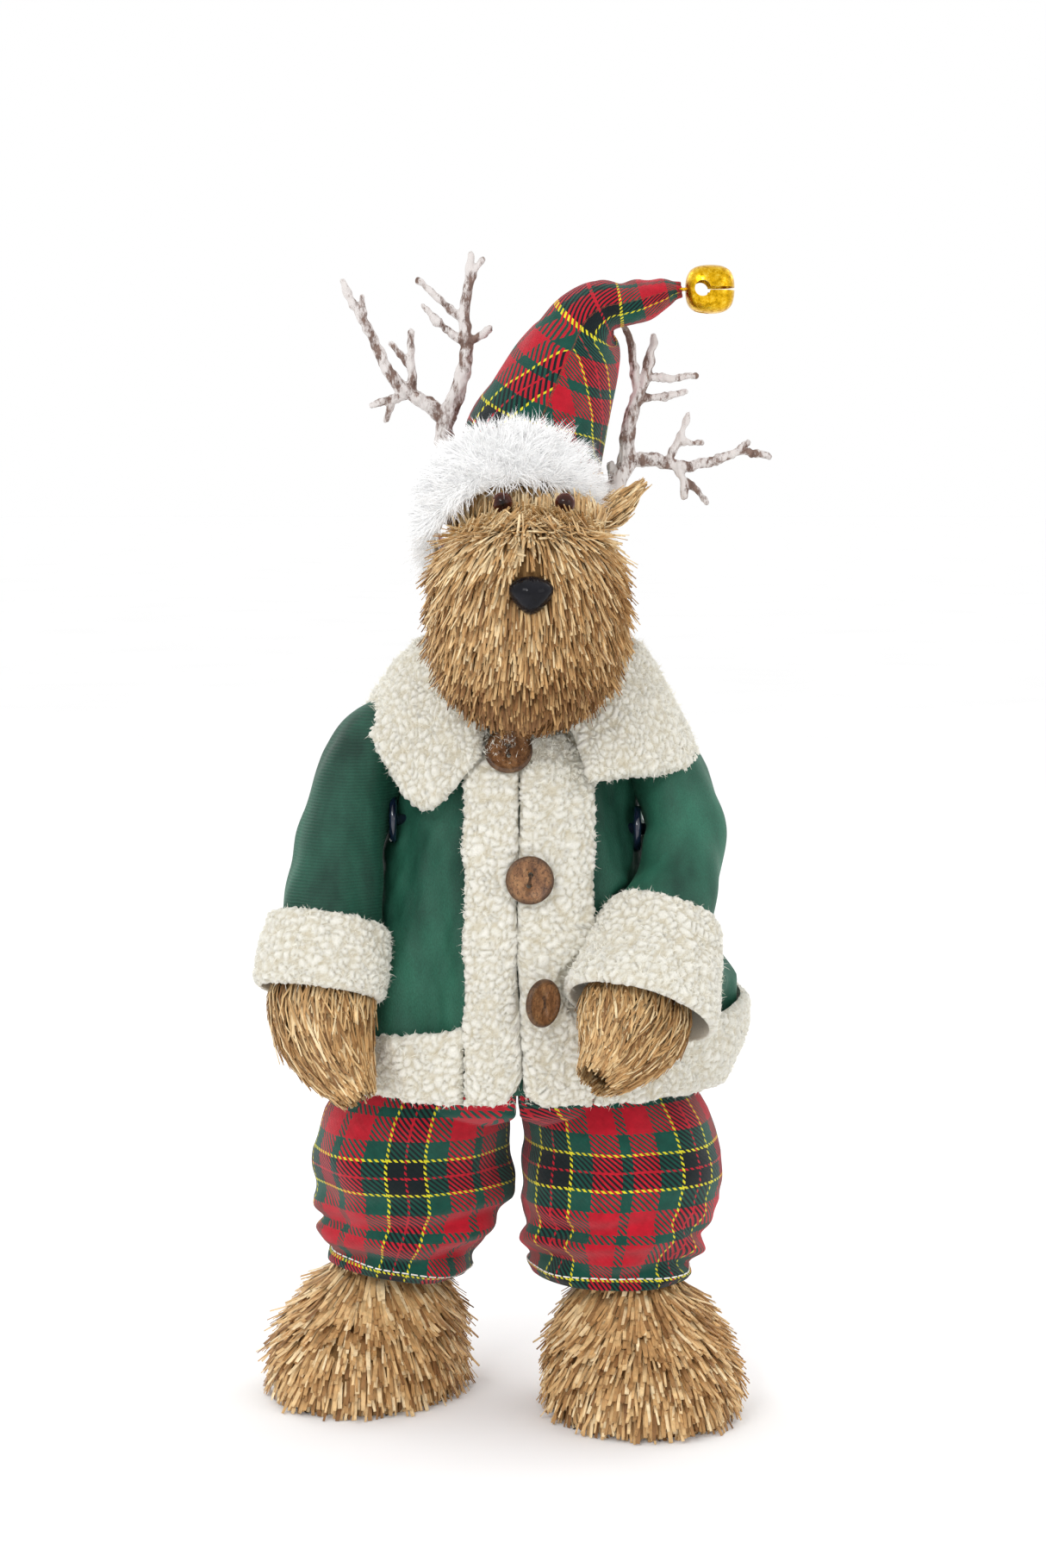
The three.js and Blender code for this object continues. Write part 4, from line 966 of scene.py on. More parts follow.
class REINDEER_OT_inside(ReindeerOperator):
    """Wadding, foam, dowels, washers, soles and shoulder discs"""

    bl_idname = "reindeer.inside"
    bl_label = "Inside"

    def build(self, sizes):
        wadding = speckled("wadding", 700, linear((0.82, 0.80, 0.76)), linear((0.97, 0.96, 0.93)), 0.0012,
                           Roughness=1.0)
        stuffed = [("torso", coat, -6.5, coat.height_share(166), coat.height_share(297), "root")]
        for side in SIDES:
            leg = Form(LEG_FORM[side][:6], upright=True)
            stuffed.append((f"leg_stuffing_{side}", leg, -3.2, 0.42, 0.8, "root"))
            arm = Form(SLEEVE_FORM[side])
            stuffed.append((f"arm_core_{side}", arm, -4.6, 0.36, 0.86, f"{side}_arm"))
        for node, form, offset, start, end, body in stuffed:
            grid = form.bud(72, 60, offset - 0.6, start, end)
            lumps = 0.6 * curl_height(grid, 7, 4) + 0.4 * swell(grid, 12, 9)
            grid = grid + unit(grid - grid.mean(axis=1, keepdims=True)) * lumps[..., None]
            made = closed_grid(f"{node}_wadding", grid, wadding, body, slot="wadding", replaces=[node])
        wood = speckled("dowel_wood", 300, linear((0.60, 0.44, 0.27)), linear((0.80, 0.65, 0.45)),
                        stretch=(1, 1, 0.08), Roughness=0.6)
        board = speckled("sole_board", 600, linear((0.52, 0.42, 0.30)), linear((0.72, 0.61, 0.46)),
                         Roughness=0.9)
        foam = speckled("bead_foam", 420, linear((0.86, 0.86, 0.84)), linear((0.98, 0.98, 0.96)), 0.0008,
                        Roughness=0.8)
        plastic = speckled("blue_plastic", 90, linear((0.03, 0.05, 0.10)), linear((0.10, 0.15, 0.26)), 0.00005,
                           Roughness=0.14, Transmission_Weight=0.25, Coat_Weight=0.6)
        steel = speckled("steel", 500, linear((0.42, 0.42, 0.42)), linear((0.66, 0.66, 0.66)), Roughness=0.3,
                         Metallic=1.0)
        given = {"neck_dowel": wood, "head_core": foam, "bell_clapper": steel}
        for side in SIDES:
            given |= {f"leg_dowel_{side}": wood, f"sole_{side}": board, f"shoulder_washer_{side}": plastic}
        for node, material in given.items():
            paint(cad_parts[node], material)
        for side in SIDES:
            x, y, z = SHOULDER[side]
            out = OUT[side]
            angle = circle(48)
            rows = [stacked(out * s, y + r * np.cos(angle), z + out * r * np.sin(angle)) for r,
                    s in SHOULDER_PROFILE]
            closed_grid(f"shoulder_joint_{side}", np.array(rows), plastic, f"{side}_arm", slot="blue_plastic",
                        replaces=[f"shoulder_disc_{side}"])


def muzzle_gap(points):
    """How far points are outside the muzzle's skin, roughly, in millimetres."""
    stations = np.array(MUZZLE_FORM, float)
    z = np.clip(points[:, 2], stations[0, 2], stations[-1, 2])
    x, y, a, b = (np.interp(z, stations[:, 2], stations[:, column]) for column in (0, 1, 3, 4))
    aside = (np.hypot((points[:, 0] - x) / a, (points[:, 1] - y) / b) - 1) * np.minimum(a, b)
    above = np.abs(points[:, 2] - z)
    return np.where(above > 0, np.maximum(above, aside), aside)


class REINDEER_OT_head(ReindeerOperator):
    """Straw head and ears"""

    bl_idname = "reindeer.head"
    bl_label = "Head"

    def build(self, sizes):
        rng = np.random.default_rng(11)
        straw = finish_of("straw", straw_finish)
        under = finish_of("under_straw", shaded_under_straw_finish)
        muzzle = Form(MUZZLE_FORM, upright=True)
        centre, radii = np.array(SKULL[0], float), np.array(SKULL[1], float)
        places, normals, _ = scatter(muzzle.bud(64, 60, -2.0), int(sizes.head_straws * 0.72), rng)
        keep = np.linalg.norm((places - centre) / (radii - 2), axis=1) > 1
        places, normals = places[keep], normals[keep]
        height = smooth(places[:, 2], 388, 304)
        rim = smooth(places[:, 2] + rng.normal(0, 3.5, len(places)), 379, 386)[:, None]
        guides = stacked(0.006 * (places[:, 0] - 5), -0.2, -1.0)
        guides = guides * (1 - rim) + rim * (0, -0.35, 1.0)
        lift = 7 + 30 * height**2 + 18 * rim[:, 0] + rng.normal(0, 1, len(places)) * (4.5 + 9 * height**2)
        ways = swept(normals, guides, np.radians(lift), 0.06, rng)
        lengths = millimetres("straw_length") * (1 - 0.5 * height - 0.3 * rim[:, 0])
        lengths = lengths * rng.uniform(0.6, 1.15, len(places))
        dome = ball(64, 50)
        dome[..., 2] *= np.where(dome[..., 2] > 0, SKULL_TOP, 1)
        closed_grid("muzzle_core", muzzle.bud(64, 50, -2.4), under, "root", slot="straw",
                    replaces=["head", "head_core"])
        closed_grid("skull_core", (centre + dome * (radii - 2.4))[1:-1], under, "root", slot="straw")
        closed_grid("brow_core", (BROW[0] + dome * np.subtract(BROW[1], 2))[1:-1], under, "root", slot="straw")
        crown, facing, _ = scatter(centre + dome * (radii - 2), int(sizes.head_straws * 0.28), rng)
        keep = (muzzle_gap(crown) > -1.5) & (crown[:, 2] < 412)
        crown, facing = crown[keep], facing[keep]
        front = smooth(-crown[:, 1], 6, 22) * smooth(crown[:, 2], 374, 388)
        guides = stacked(0.2 * np.sign(crown[:, 0] - 5), 0.2 - 0.2 * front, -1 + 1.9 * front)
        more = swept(facing, guides, np.radians(14 + rng.normal(0, 6, len(crown))), 0.1, rng)
        brow, bare, _ = scatter(BROW[0] + dome * np.subtract(BROW[1], 1.5), 5200, rng)
        keep = (bare[:, 1] < -0.2) & (brow[:, 2] > 383) & (brow[:, 2] < 402) & (muzzle_gap(brow) > -1)
        brow, bare = brow[keep], bare[keep]
        guides = stacked((brow[:, 0] - 8) / 60, -0.3, 1.0)
        upright = swept(bare, guides, np.radians(13 + rng.normal(0, 6, len(brow))), 0.12, rng)
        on_muzzle = np.arange(len(places) + len(crown) + len(brow)) < len(places)
        places, normals = np.concatenate([places, crown, brow]), np.concatenate([normals, facing, bare])
        ways = np.concatenate([ways, more, upright])
        lengths = np.concatenate([lengths, 11 * rng.uniform(0.6, 1.1, len(crown)),
                                  rng.uniform(5, 9, len(brow))])
        tips = places + ways * lengths[:, None]
        low_brow = on_muzzle & (np.maximum(places[:, 2], tips[:, 2]) > 392) & (np.abs(places[:, 0] - 8) < 26)
        keep = ~low_brow & (tips[:, 2] > 297.5)
        for spot, room in [(EYES["right"], EYE_ROOM), (EYES["left"], EYE_ROOM), (NOSE, NOSE_ROOM)]:
            for share in (0.0, 0.35, 0.7, 1.0):
                near = np.linalg.norm(places * (1 - share) + tips * share - spot, axis=1) < room
                keep &= ~near | (places[:, 2] < NOSE[2] - 2)
        places, normals, ways, lengths = (x[keep] for x in (places, normals, ways, lengths))
        widths = millimetres("straw_width") * rng.uniform(0.5, 1.2, len(places))
        bow = normals * rng.normal(0.0, 0.1, (len(places), 1)) + rng.normal(0, 0.05, places.shape)
        # Straws are painted lighter towards the top of the muzzle, partly from their pale cut ends and partly
        # as painted light from above. They are painted darker towards the chin as painted shade under the
        # muzzle.
        tone = rng.beta(1.0, 1.1, len(places)) + 0.4 * smooth(places[:, 2], 365, 388)
        tone = np.clip(tone - 0.5 * smooth(places[:, 2], 338, 308), 0, 1)
        strands("head_straw", places, ways, normals, lengths, widths, rng, straw, "root", bow=bow, tone=tone,
                slot="straw")
        for side in SIDES:
            ear = Form(EAR_FORM[side])
            places, ways, normals, lengths, bow, _ = combed(ear, 420, 0.0, 0.9, rng.uniform(5, 10, 420), -0.4,
                                                            rng)
            bow = bow + rng.normal(0, 0.06, places.shape)
            strands(f"ear_straw_{side}", places, ways, normals, lengths, rng.uniform(0.6, 1.3, len(places)),
                    rng, straw, "root",
                    tone=np.clip(rng.beta(2, 2, len(places)) + 0.2, 0, 1), bow=bow, slot="straw")
            closed_grid(f"ear_core_{side}", ear.bud(20, 16, -1.2), under, "root", slot="straw",
                        replaces=[f"ear_{side}"])


class REINDEER_OT_face(ReindeerOperator):
    """Glass eyes and moulded nose"""

    bl_idname = "reindeer.face"
    bl_label = "Face"

    def build(self, sizes):
        amber = Finish("amber_glass", Roughness=0.05, Specular_IOR_Level=0.25)
        # Painted light: the dark glass turns amber towards its edges as seen from the camera, standing in for
        # light coming through the glass.
        facing = amber.node("LayerWeight", out="Facing", inputs={"Blend": 0.22})
        grain = amber.ramp(amber.noise(240), (0.4, linear((0.05, 0.03, 0.03))),
                           (0.75, linear((0.2, 0.09, 0.06))))
        amber.set(Base_Color=amber.mix(facing, grain, linear((0.5, 0.2, 0.1))))
        for side in SIDES:
            steps = np.linspace(-0.3, 0.5, 22) * math.pi
            profile = [(1.2, -8.5), (1.2, -3.2)]
            profile += [(EYE_RADIUS * math.cos(a) + 1e-3, EYE_RADIUS * math.sin(a)) for a in steps]
            lathe(f"eye_glass_{side}", profile, EYES[side], (math.radians(90 - 25), 0), amber.material, "root",
                  slot="amber", replaces=[f"eye_{side}"])
        gloss = speckled("gloss_black", 60, (0.003, 0.003, 0.004, 1), (0.012, 0.012, 0.016, 1), 0.0001,
                         Roughness=0.06,
                         Specular_IOR_Level=0.13)
        x, y, z = np.moveaxis(ball(72, 48, 0.485), -1, 0)
        bead = stacked(9.6 * x * (0.66 + 0.36 * smooth(z, -1.0, 0.45)), 8.8 * y, np.where(z > 0, 6.8, 8.6) * z)
        closed_grid("nose_bead", bead + NOSE, gloss, "root", slot="gloss_black", replaces=["nose"])


class REINDEER_OT_hands(ReindeerOperator):
    """Straw hands"""

    bl_idname = "reindeer.hands"
    bl_label = "Hands"

    def build(self, sizes):
        straw = finish_of("hand_straw", straw_finish)
        under = finish_of("under_straw", shaded_under_straw_finish)
        for side in SIDES:
            rng = np.random.default_rng(21 + OUT[side])
            hand = Form(HAND_FORM[side])
            reach = rng.uniform(9, 21, sizes.hand_straws)
            places, ways, normals, lengths, bow, share = combed(hand, sizes.hand_straws, 0.1, 1.0, reach, -0.2,
                                                                rng, 1.09)
            bow = bow + rng.normal(0, 0.04, places.shape)
            ways = unit(ways + normals * rng.normal(0.05, 0.07, (len(places), 1)))
            tone = np.clip(rng.beta(1.0, 1.1, len(places)), 0, 1)
            strands(f"hand_straw_{side}", places, ways, normals, lengths, rng.uniform(0.6, 1.4, len(places)),
                    rng, straw,
                    f"{side}_arm", tone=tone, bow=bow, slot="straw")
            closed_grid(f"hand_core_{side}", hand.bud(40, 40, -2.6), under, f"{side}_arm", slot="straw",
                        replaces=[f"hand_{side}"])


class REINDEER_OT_feet(ReindeerOperator):
    """Straw feet in layers of flat chips"""

    bl_idname = "reindeer.feet"
    bl_label = "Feet"

    def build(self, sizes):
        straw = finish_of("foot_straw", straw_finish, 1.1)
        under = finish_of("under_straw", shaded_under_straw_finish)
        for side in SIDES:
            rng = np.random.default_rng(31 + OUT[side])
            x, y, turn = FOOT_PLACE[side]
            spin = rotation((math.radians(turn), "Z"))
            inward = -OUT[side]
            form = Form([(inward * s[0], *s[1:]) for s in FOOT_FORM], upright=True)
            places, normals, share = scatter(form.grid(64, 60, -1.6), sizes.foot_straws, rng)
            places = places @ spin.T + (x, y, 0)
            normals = normals @ spin.T
            places = places + normals * 1.7 * smooth(places[:, 2], 30, 48)[:, None]
            tiers = smooth(np.modf(places[:, 2] / 11 + 0.15 * swell(places, 30, 3))[0], 0, 1)
            lift = 5 + 11 * tiers + 5 * smooth(places[:, 2], 30, 10) + rng.normal(0, 4.5, len(places))
            lift = np.radians(lift * (1 - 0.65 * smooth(places[:, 2], 34, 50)))
            outward = unit((places - (x, y, 0)) * (1, 1, 0))
            ways = swept(normals, outward * 0.5 + (0, 0, -1.0), lift, 0.1, rng)
            lengths = rng.uniform(9, 16, len(places))
            tone = np.clip(rng.beta(1.0, 1.1, len(places)) + 0.1 * tiers - 0.05, 0, 1)
            strands(f"foot_straw_{side}", places, ways, normals, lengths, rng.uniform(1.2, 2.9, len(places)),
                    rng, straw, "root",
                    flat=0.28, floor=0.3, tone=tone, bow=normals * rng.normal(-0.05, 0.1,
                                                                              (len(places), 1)), slot="straw")
            paint(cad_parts[f"foot_{side}"], under)


class REINDEER_OT_antlers(ReindeerOperator):
    """Whitewashed twig antlers"""

    bl_idname = "reindeer.antlers"
    bl_label = "Antlers"

    def build(self, sizes):
        twig = finish_of("whitewashed_twig", twig_finish)
        for side in SIDES:
            points, faces, count = [], [], 0
            for start, end, *path in ANTLERS[side]:
                path = np.array(path, float)
                depth = 14 - 6 * smooth(410 - path[:, 1], 0, 28)
                radii = np.linspace(start, end, len(path)) + 0.3
                form = Form(stacked(path[:, 0], depth, path[:, 1], radii, radii))
                grid = form.grid(12, 6 * len(path))
                rows, across = grid.shape[0] - 1, grid.shape[1]
                ends = [grid[0].mean(axis=0),
                        grid[-1].mean(axis=0) + 0.4 * (grid[-1].mean(axis=0) - grid[-3].mean(axis=0))]
                column = np.arange(across)
                ahead = (column + 1) % across
                low = np.full(across, count + grid.size // 3)
                faces.append(grid_faces(across, rows, True, count))
                faces.append(stacked(low, ahead + count, column + count))
                faces.append(stacked(low + 1, column + count + rows * across, ahead + count + rows * across))
                points.append(np.concatenate([grid.reshape(-1, 3), ends]))
                count += len(points[-1])
            made = piece(f"antler_twig_{side}", np.concatenate(points), faces, twig, None)
            remesh = made.modifiers.new("join", "REMESH")
            remesh.mode, remesh.voxel_size = "VOXEL", 0.00055
            smoothing = made.modifiers.new("round", "SMOOTH")
            smoothing.iterations, smoothing.factor = 3, 0.5
            evaluated(made)
            where, out = vertex_array(made.data) * 1000, vertex_array(made.data, "normal")
            bark = 0.30 * swell(where * (1, 1, 0.35), 2.6, 4) + 0.34 * swell(where, 7, 5)
            knots = np.maximum(0, swell(where, 11, 6) - 0.75) * 0.9
            where = where + out * (bark + knots)[:, None]
            made.data.vertices.foreach_set("co", (where * 0.001).astype(np.float32).ravel())
            made.data.update()
            finished(made, twig, "root", [f"antler_{side}"])


class REINDEER_OT_hat(ReindeerOperator):
    """Tartan stocking hat"""

    bl_idname = "reindeer.hat"
    bl_label = "Hat"

    def build(self, sizes):
        form = Form(HAT_FORM)
        columns, rows = 160, 190
        share = np.linspace(HAT_MOUTH, 1, rows + 1)[:, None]
        grid = form.grid(columns, rows, -0.4, HAT_MOUTH)
        normals = grid_normals(grid, True)
        creases = 0.9 * swell(grid * (1, 1, 0.5), 26, 14) + 0.5 * swell(grid, 11, 15) * smooth(share, 0.3, 0.7)
        pucker = 0.5 * np.sin(circle(columns) * 9)[None] * smooth(share, 0.9, 1.0)
        fade = 1 - 0.6 * smooth(share, 0.9, 1)
        grid = grid + normals * ((creases * fade + pucker) * (1 - smooth(share, 0.04, 0.0) * 0.5))[..., None]
        plane = BRIM_CENTRE[2] - math.tan(BRIM_LEAN) * (BRIM_CENTRE[1] - grid[0, :, 1])
        plane = plane - math.tan(BRIM_ROLL) * (grid[0, :, 0] - BRIM_CENTRE[0])
        moved = (plane - grid[0, :, 2]) * smooth(grid[..., 2], 440, 395)
        grid[..., 2] += moved
        spine = form.along(share[:, 0])[0]
        rise = np.concatenate([[0], np.cumsum(np.linalg.norm(np.diff(spine, axis=0), axis=1))])
        size = np.interp(share[:, 0], np.linspace(0, 1, form.last + 1), np.array(HAT_FORM)[:, 3])
        around = (np.linspace(-0.5, 0.5, columns)[None]) * TURN * np.maximum(size, 17)[:, None]
        uv = stacked(around * 0.001 + 0.009, (rise[:, None] + moved + 0 * around) * 0.001 + 0.052)
        uv = np.concatenate([uv.reshape(-1, 2), uv[:1].mean(axis=1), uv[-1:].mean(axis=1)])
        hat = closed_grid("hat_cloth", np.roll(grid, columns // 4, axis=1), finish_of("tartan", tartan_finish),
                          None, slot="tartan",
                          replaces=["hat_cone", "hat_tip"], uv=uv)
        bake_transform(hat)


class REINDEER_OT_brim(ReindeerOperator):
    """White fur brim"""

    bl_idname = "reindeer.brim"
    bl_label = "Brim"

    def build(self, sizes):
        rng = np.random.default_rng(41)
        angle = circle(120)[None, :]
        tube = np.linspace(0, TURN, 36)[::-1][:, None]
        reach = 1 + BRIM_TUBE * np.cos(tube)
        wide, deep, tall = BRIM_REACH
        ring = stacked(wide * reach * np.cos(angle), deep * reach * np.sin(angle), -tall * np.sin(tube))
        lean = rotation((BRIM_ROLL, "Y"), (BRIM_LEAN, "X"))
        grid = ring @ lean.T + np.array(BRIM_CENTRE, float)
        places, normals, _ = scatter(grid, sizes.brim_hairs, rng)
        outward = unit((places - BRIM_CENTRE) @ lean * (1, 1, 0)) @ lean.T
        keep = np.sum(normals * outward, axis=1) > -0.35
        places, normals, outward = places[keep], normals[keep], outward[keep]
        clumps = np.stack([swell(places, 9, seed) for seed in (21, 22, 23)], axis=-1)
        ways = unit(normals + 0.28 * clumps + rng.normal(0, 0.2, places.shape) + outward * 0.15)
        lengths = millimetres("fur_length") * rng.uniform(0.45, 1.0, len(places))
        bow = rng.normal(0, 0.16, places.shape) + (0, 0, -0.14) + 0.18 * clumps
        tips = places + (ways + bow) * lengths[:, None]
        keep = ~((tips[:, 1] < -36) & (tips[:, 2] < 394) & (np.abs(tips[:, 0] - 8) < 24))
        places, normals, ways, lengths, bow, outward = (x[keep] for x in (places, normals, ways, lengths, bow,
                                                                          outward))
        fur = finish_of("fur", fur_glow_finish)
        strands("brim_fur", places - normals * 1.0, ways, outward, lengths,
                rng.uniform(0.25, 0.5, len(places)), rng, fur, "root",
                pointed=True, bow=bow, slot="fur")
        base = speckled("fur_base", 900, linear((0.86, 0.86, 0.86)), linear((0.97, 0.97, 0.97)), 0.001,
                        Roughness=0.95)
        soft = grid[:-1] + grid_normals(grid[:-1], True) * (0.7 * swell(grid[:-1], 9, 27) - 0.8)[..., None]
        rows, across = soft.shape[0], soft.shape[1]
        faces = grid_faces(across, rows, True) % (rows * across)
        made = piece("brim_base", soft, [faces], base, "root", slot="fur", replaces=["hat_brim"])


class REINDEER_OT_bell(ReindeerOperator):
    """Jingle bell with its loop"""

    bl_idname = "reindeer.bell"
    bl_label = "Bell"

    def build(self, sizes):
        gold = finish_of("brassy_gold", gold_finish)
        centre = np.array(BELL_CENTRE, float)

        def rounded_box(name, radius):
            sphere = np.roll(ball(72, 49), 1, axis=-1)
            box = sphere / (np.abs(sphere) ** 3.4).sum(axis=-1, keepdims=True) ** (1 / 3.4)
            shape = sphere * 0.3 + box * 0.7
            return closed_grid(name, centre + shape * radius * (1.0, 0.98, 0.98), gold, None)

        outer, inner = rounded_box("bell_petals", BELL_OUTSIDE), rounded_box("bell_hollow", BELL_INSIDE)
        tools = [inner]
        for turn in (0, 90):
            corners = np.array(list(itertools.product((-4, 14), (-14, 14), (-0.7, 0.7))))
            slot = corners @ rotation((math.radians(turn), "X")).T + centre
            faces = np.array([(0, 1, 3, 2), (4, 6, 7, 5), (0, 4, 5, 1), (2, 3, 7, 6), (0, 2, 6, 4),
                              (1, 5, 7, 3)])
            tools.append(piece(f"bell_slot_{turn}", slot, [faces], gold, None))
            axis = (math.radians(90), 0) if turn == 0 else (0, 0)
            tools.append(lathe(f"bell_hole_{turn}", [(3.3, -14), (3.3, 14)], centre - (3.5, 0, 0), axis, gold,
                               None))
        cut_away(outer, tools)
        finished(outer, gold, "bell", ["bell_shell"])
        bevel_edges = outer.modifiers.new("edge", "BEVEL")
        bevel_edges.width, bevel_edges.segments, bevel_edges.limit_method = 0.00022, 2, "ANGLE"
        angle, tube = circle(40), circle(12)[:, None]
        reach = 2.4 + 0.6 * np.cos(tube)
        ring = stacked(reach * np.cos(angle), reach * np.sin(angle), 0.6 * np.sin(tube))
        faces = grid_faces(40, 12, True) % (12 * 40)
        piece("bell_ring", ring + centre - (11.5, 0, 0), [faces[:, ::-1]], gold, "bell", slot="gold",
              replaces=["bell_loop"])


class REINDEER_OT_coat(ReindeerOperator):
    """Velvet coat"""

    bl_idname = "reindeer.coat"
    bl_label = "Coat"

    def build(self, sizes):
        share, angle = spread(320, 130)
        outer = slack_coat.point(share, angle, -0.4)
        slack = smooth(outer[..., 2], 285, 190)
        wave = np.sin(angle * 7 + 1.7 * swell(outer, 90,
                                              31)) * 1.3 + np.sin(angle * 13 + 1.5 * swell(outer, 60, 32)) * 0.8
        folds = slack * wave + 0.7 * swell(outer * (1, 1, 0.35), 24,
                                           33) + 0.35 * swell(outer * (1, 1, 0.6), 9, 34)
        outer = outer + grid_normals(outer, True) * np.clip(folds * 1.35, -3.2, 1.3)[..., None]
        inner = outer - grid_normals(outer, True) * millimetres("velvet_thickness")
        shell("coat_velvet", outer, inner, True, finish_of("velvet", velvet_finish), "root", slot="velvet",
              replaces=["coat_body"])


class REINDEER_OT_trim(ReindeerOperator):
    """Sherpa front bands, hem band and collar"""

    bl_idname = "reindeer.trim"
    bl_label = "Sherpa trim"

    def build(self, sizes):
        split, right, left = FRONT_SPLIT, FRONT_RIGHT, FRONT_LEFT

        def rounded(distance):
            inside = FRONT_CORNER - np.minimum(distance, FRONT_CORNER)
            return COAT_BOTTOM + FRONT_CORNER - np.sqrt(FRONT_CORNER**2 - inside**2)

        def strip_of(first, second, bottom, top):
            def surface(u, v, lift):
                u = np.broadcast_to(u, lift.shape)
                middle = bottom(0.5) + (top(0.5) - bottom(0.5)) * v[:, 0]
                low, high = first(middle)[:, None], second(middle)[:, None]
                z = bottom(u) + (top(u) - bottom(u)) * v
                return coat_surface(z, low + (high - low) * u, lift)

            return surface

        def top_edge(u):
            return COAT_TOP + 0 * u

        bands = {
            "right": (strip_of(lambda z: front_angle(z, right), lambda z: front_angle(z, split - 0.2),
                               lambda u: rounded((1 - u) * (split - right)), top_edge), split - right),
            "left": (strip_of(lambda z: front_angle(z, split + 0.2), lambda z: front_angle(z, left),
                              lambda u: rounded(u * (left - split)), top_edge), left - split),
        }
        for side in SIDES:
            surface, width = bands[side]
            sherpa_shell(f"sherpa_front_{side}", surface, width * 1.15, 156, "root", [f"front_band_{side}"])
        hem = strip_of(lambda z: front_angle(z, left + 0.8), lambda z: front_angle(z, right - 0.8) + TURN,
                       lambda u: COAT_BOTTOM + 0 * u,
                       lambda u: 172 + 12 * np.maximum(0, np.cos((u * 1.13 - 0.07) * TURN - math.pi / 2)))
        sherpa_shell("sherpa_hem", hem, 520, 30, "root", ["hem_band"])
        edge, neck = (Form([(*p, 1, 1) for p in points[::-1]]) for points in (COLLAR_EDGE, COLLAR_NECK))

        def collar_base(u, v):
            low, high = edge.along(u)[0], neck.along(u)[0]
            point = low + (high - low) * v[..., None]
            point[..., 2] += 4 * np.sin(math.pi * v)
            return point

        def collar(u, v, lift):
            u, v = np.broadcast_arrays(u, v)
            step = 0.01
            along = collar_base(np.minimum(u + step, 1), v) - collar_base(np.maximum(u - step, 0), v)
            up = collar_base(u, np.minimum(v + step, 1)) - collar_base(u, np.maximum(v - step, 0))
            return collar_base(u, v) + unit(np.cross(along, up)) * lift[..., None]

        sherpa_shell("sherpa_collar", collar, 430, 52, "root", ["collar"], thick=(2.6, -2.6))


class REINDEER_OT_sleeves(ReindeerOperator):
    """Velvet sleeves that run into the coat at the shoulder"""

    bl_idname = "reindeer.sleeves"
    bl_label = "Sleeves"

    def build(self, sizes):
        for side in SIDES:
            form = Form(SLEEVE_FORM[side])
            columns, rows = 130, 110
            outer = form.grid(columns, rows, -0.3)
            share, angle = spread(columns, rows)
            rucks = 0.5 * np.sin(share * 34 + 2 * np.sin(angle + 1)) * smooth(share, 0.35, 0.6)
            folds = 0.9 * swell(outer * (1, 1, 0.4), 20, 51 + OUT[side]) + rucks
            folds = folds * smooth(share, 0.0, 0.12) * (1 - 0.7 * smooth(share, 0.9, 1.0))
            outer = outer + grid_normals(outer, True) * folds[..., None]
            inner = outer - grid_normals(outer, True) * 1.4
            name = "velvet_ribbed" if side == "right" else "velvet"
            cloth = finish_of(name, velvet_finish, side == "right")
            made = shell(f"sleeve_velvet_{side}", outer, inner, True, cloth, None, slot="velvet",
                         replaces=[f"sleeve_{side}"])
            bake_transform(made)


class REINDEER_OT_cuffs(ReindeerOperator):
    """Sherpa cuffs"""

    bl_idname = "reindeer.cuffs"
    bl_label = "Cuffs"

    def build(self, sizes):
        for side in SIDES:
            form = Form(CUFF_FORM[side])

            def surface(u, v, lift):
                return form.point(v, u * TURN, lift)

            sherpa_shell(f"sherpa_cuff_{side}", surface, 165, CUFF_HEIGHT[side], f"{side}_arm",
                         [f"cuff_{side}"],
                         wrap=True, thick=(0.2, -3.4))


class REINDEER_OT_buttons(ReindeerOperator):
    """Coconut buttons"""

    bl_idname = "reindeer.buttons"
    bl_label = "Buttons"

    def build(self, sizes):
        shell_finish = finish_of("coconut_shell", coconut_finish)
        thread = speckled("button_thread", 900, linear((0.20, 0.13, 0.08)), linear((0.36, 0.25, 0.16)),
                          Roughness=0.9)
        for name, (centre, lean, turn, holes) in BUTTONS.items():
            face = (math.radians(90 + lean), math.radians(turn))
            made = lathe(f"button_shell_{name}", BUTTON_PROFILE, centre, face, shell_finish, None, sides=72)
            side, over, seat = rotation((face[1], "Z"), (face[0], "X"), (math.radians(holes), "Z")).T
            tools = [lathe(f"button_hole_{name}_{x}", [(1.15, -5), (1.15, 5)], np.array(centre) + side * x,
                           face,
                           shell_finish, None, sides=20) for x in (-2.2, 2.2)]
            cut_away(made, tools)
            away = np.linalg.norm(vertex_array(made.data) - metres(centre), axis=1) * 1000
            rim = smooth(away, 7.4, 9.6).astype(np.float32)
            made.data.attributes.new("rim", "FLOAT", "POINT").data.foreach_set("value", rim)
            finished(made, shell_finish, "root", [f"button_{name}"])
            shifts = np.array([-0.35, 0.0, 0.35])[:, None] * over
            roots = np.array(centre) + seat * 0.95 - side * 2.0 + shifts
            sides, seats = (np.repeat([way], 3, axis=0) for way in (side, seat))
            strands(f"button_thread_{name}", roots, sides, seats, np.full(3, 4.0), np.full(3, 0.5),
                    np.random.default_rng(61), thread, "root", flat=1.0, slot="coconut")


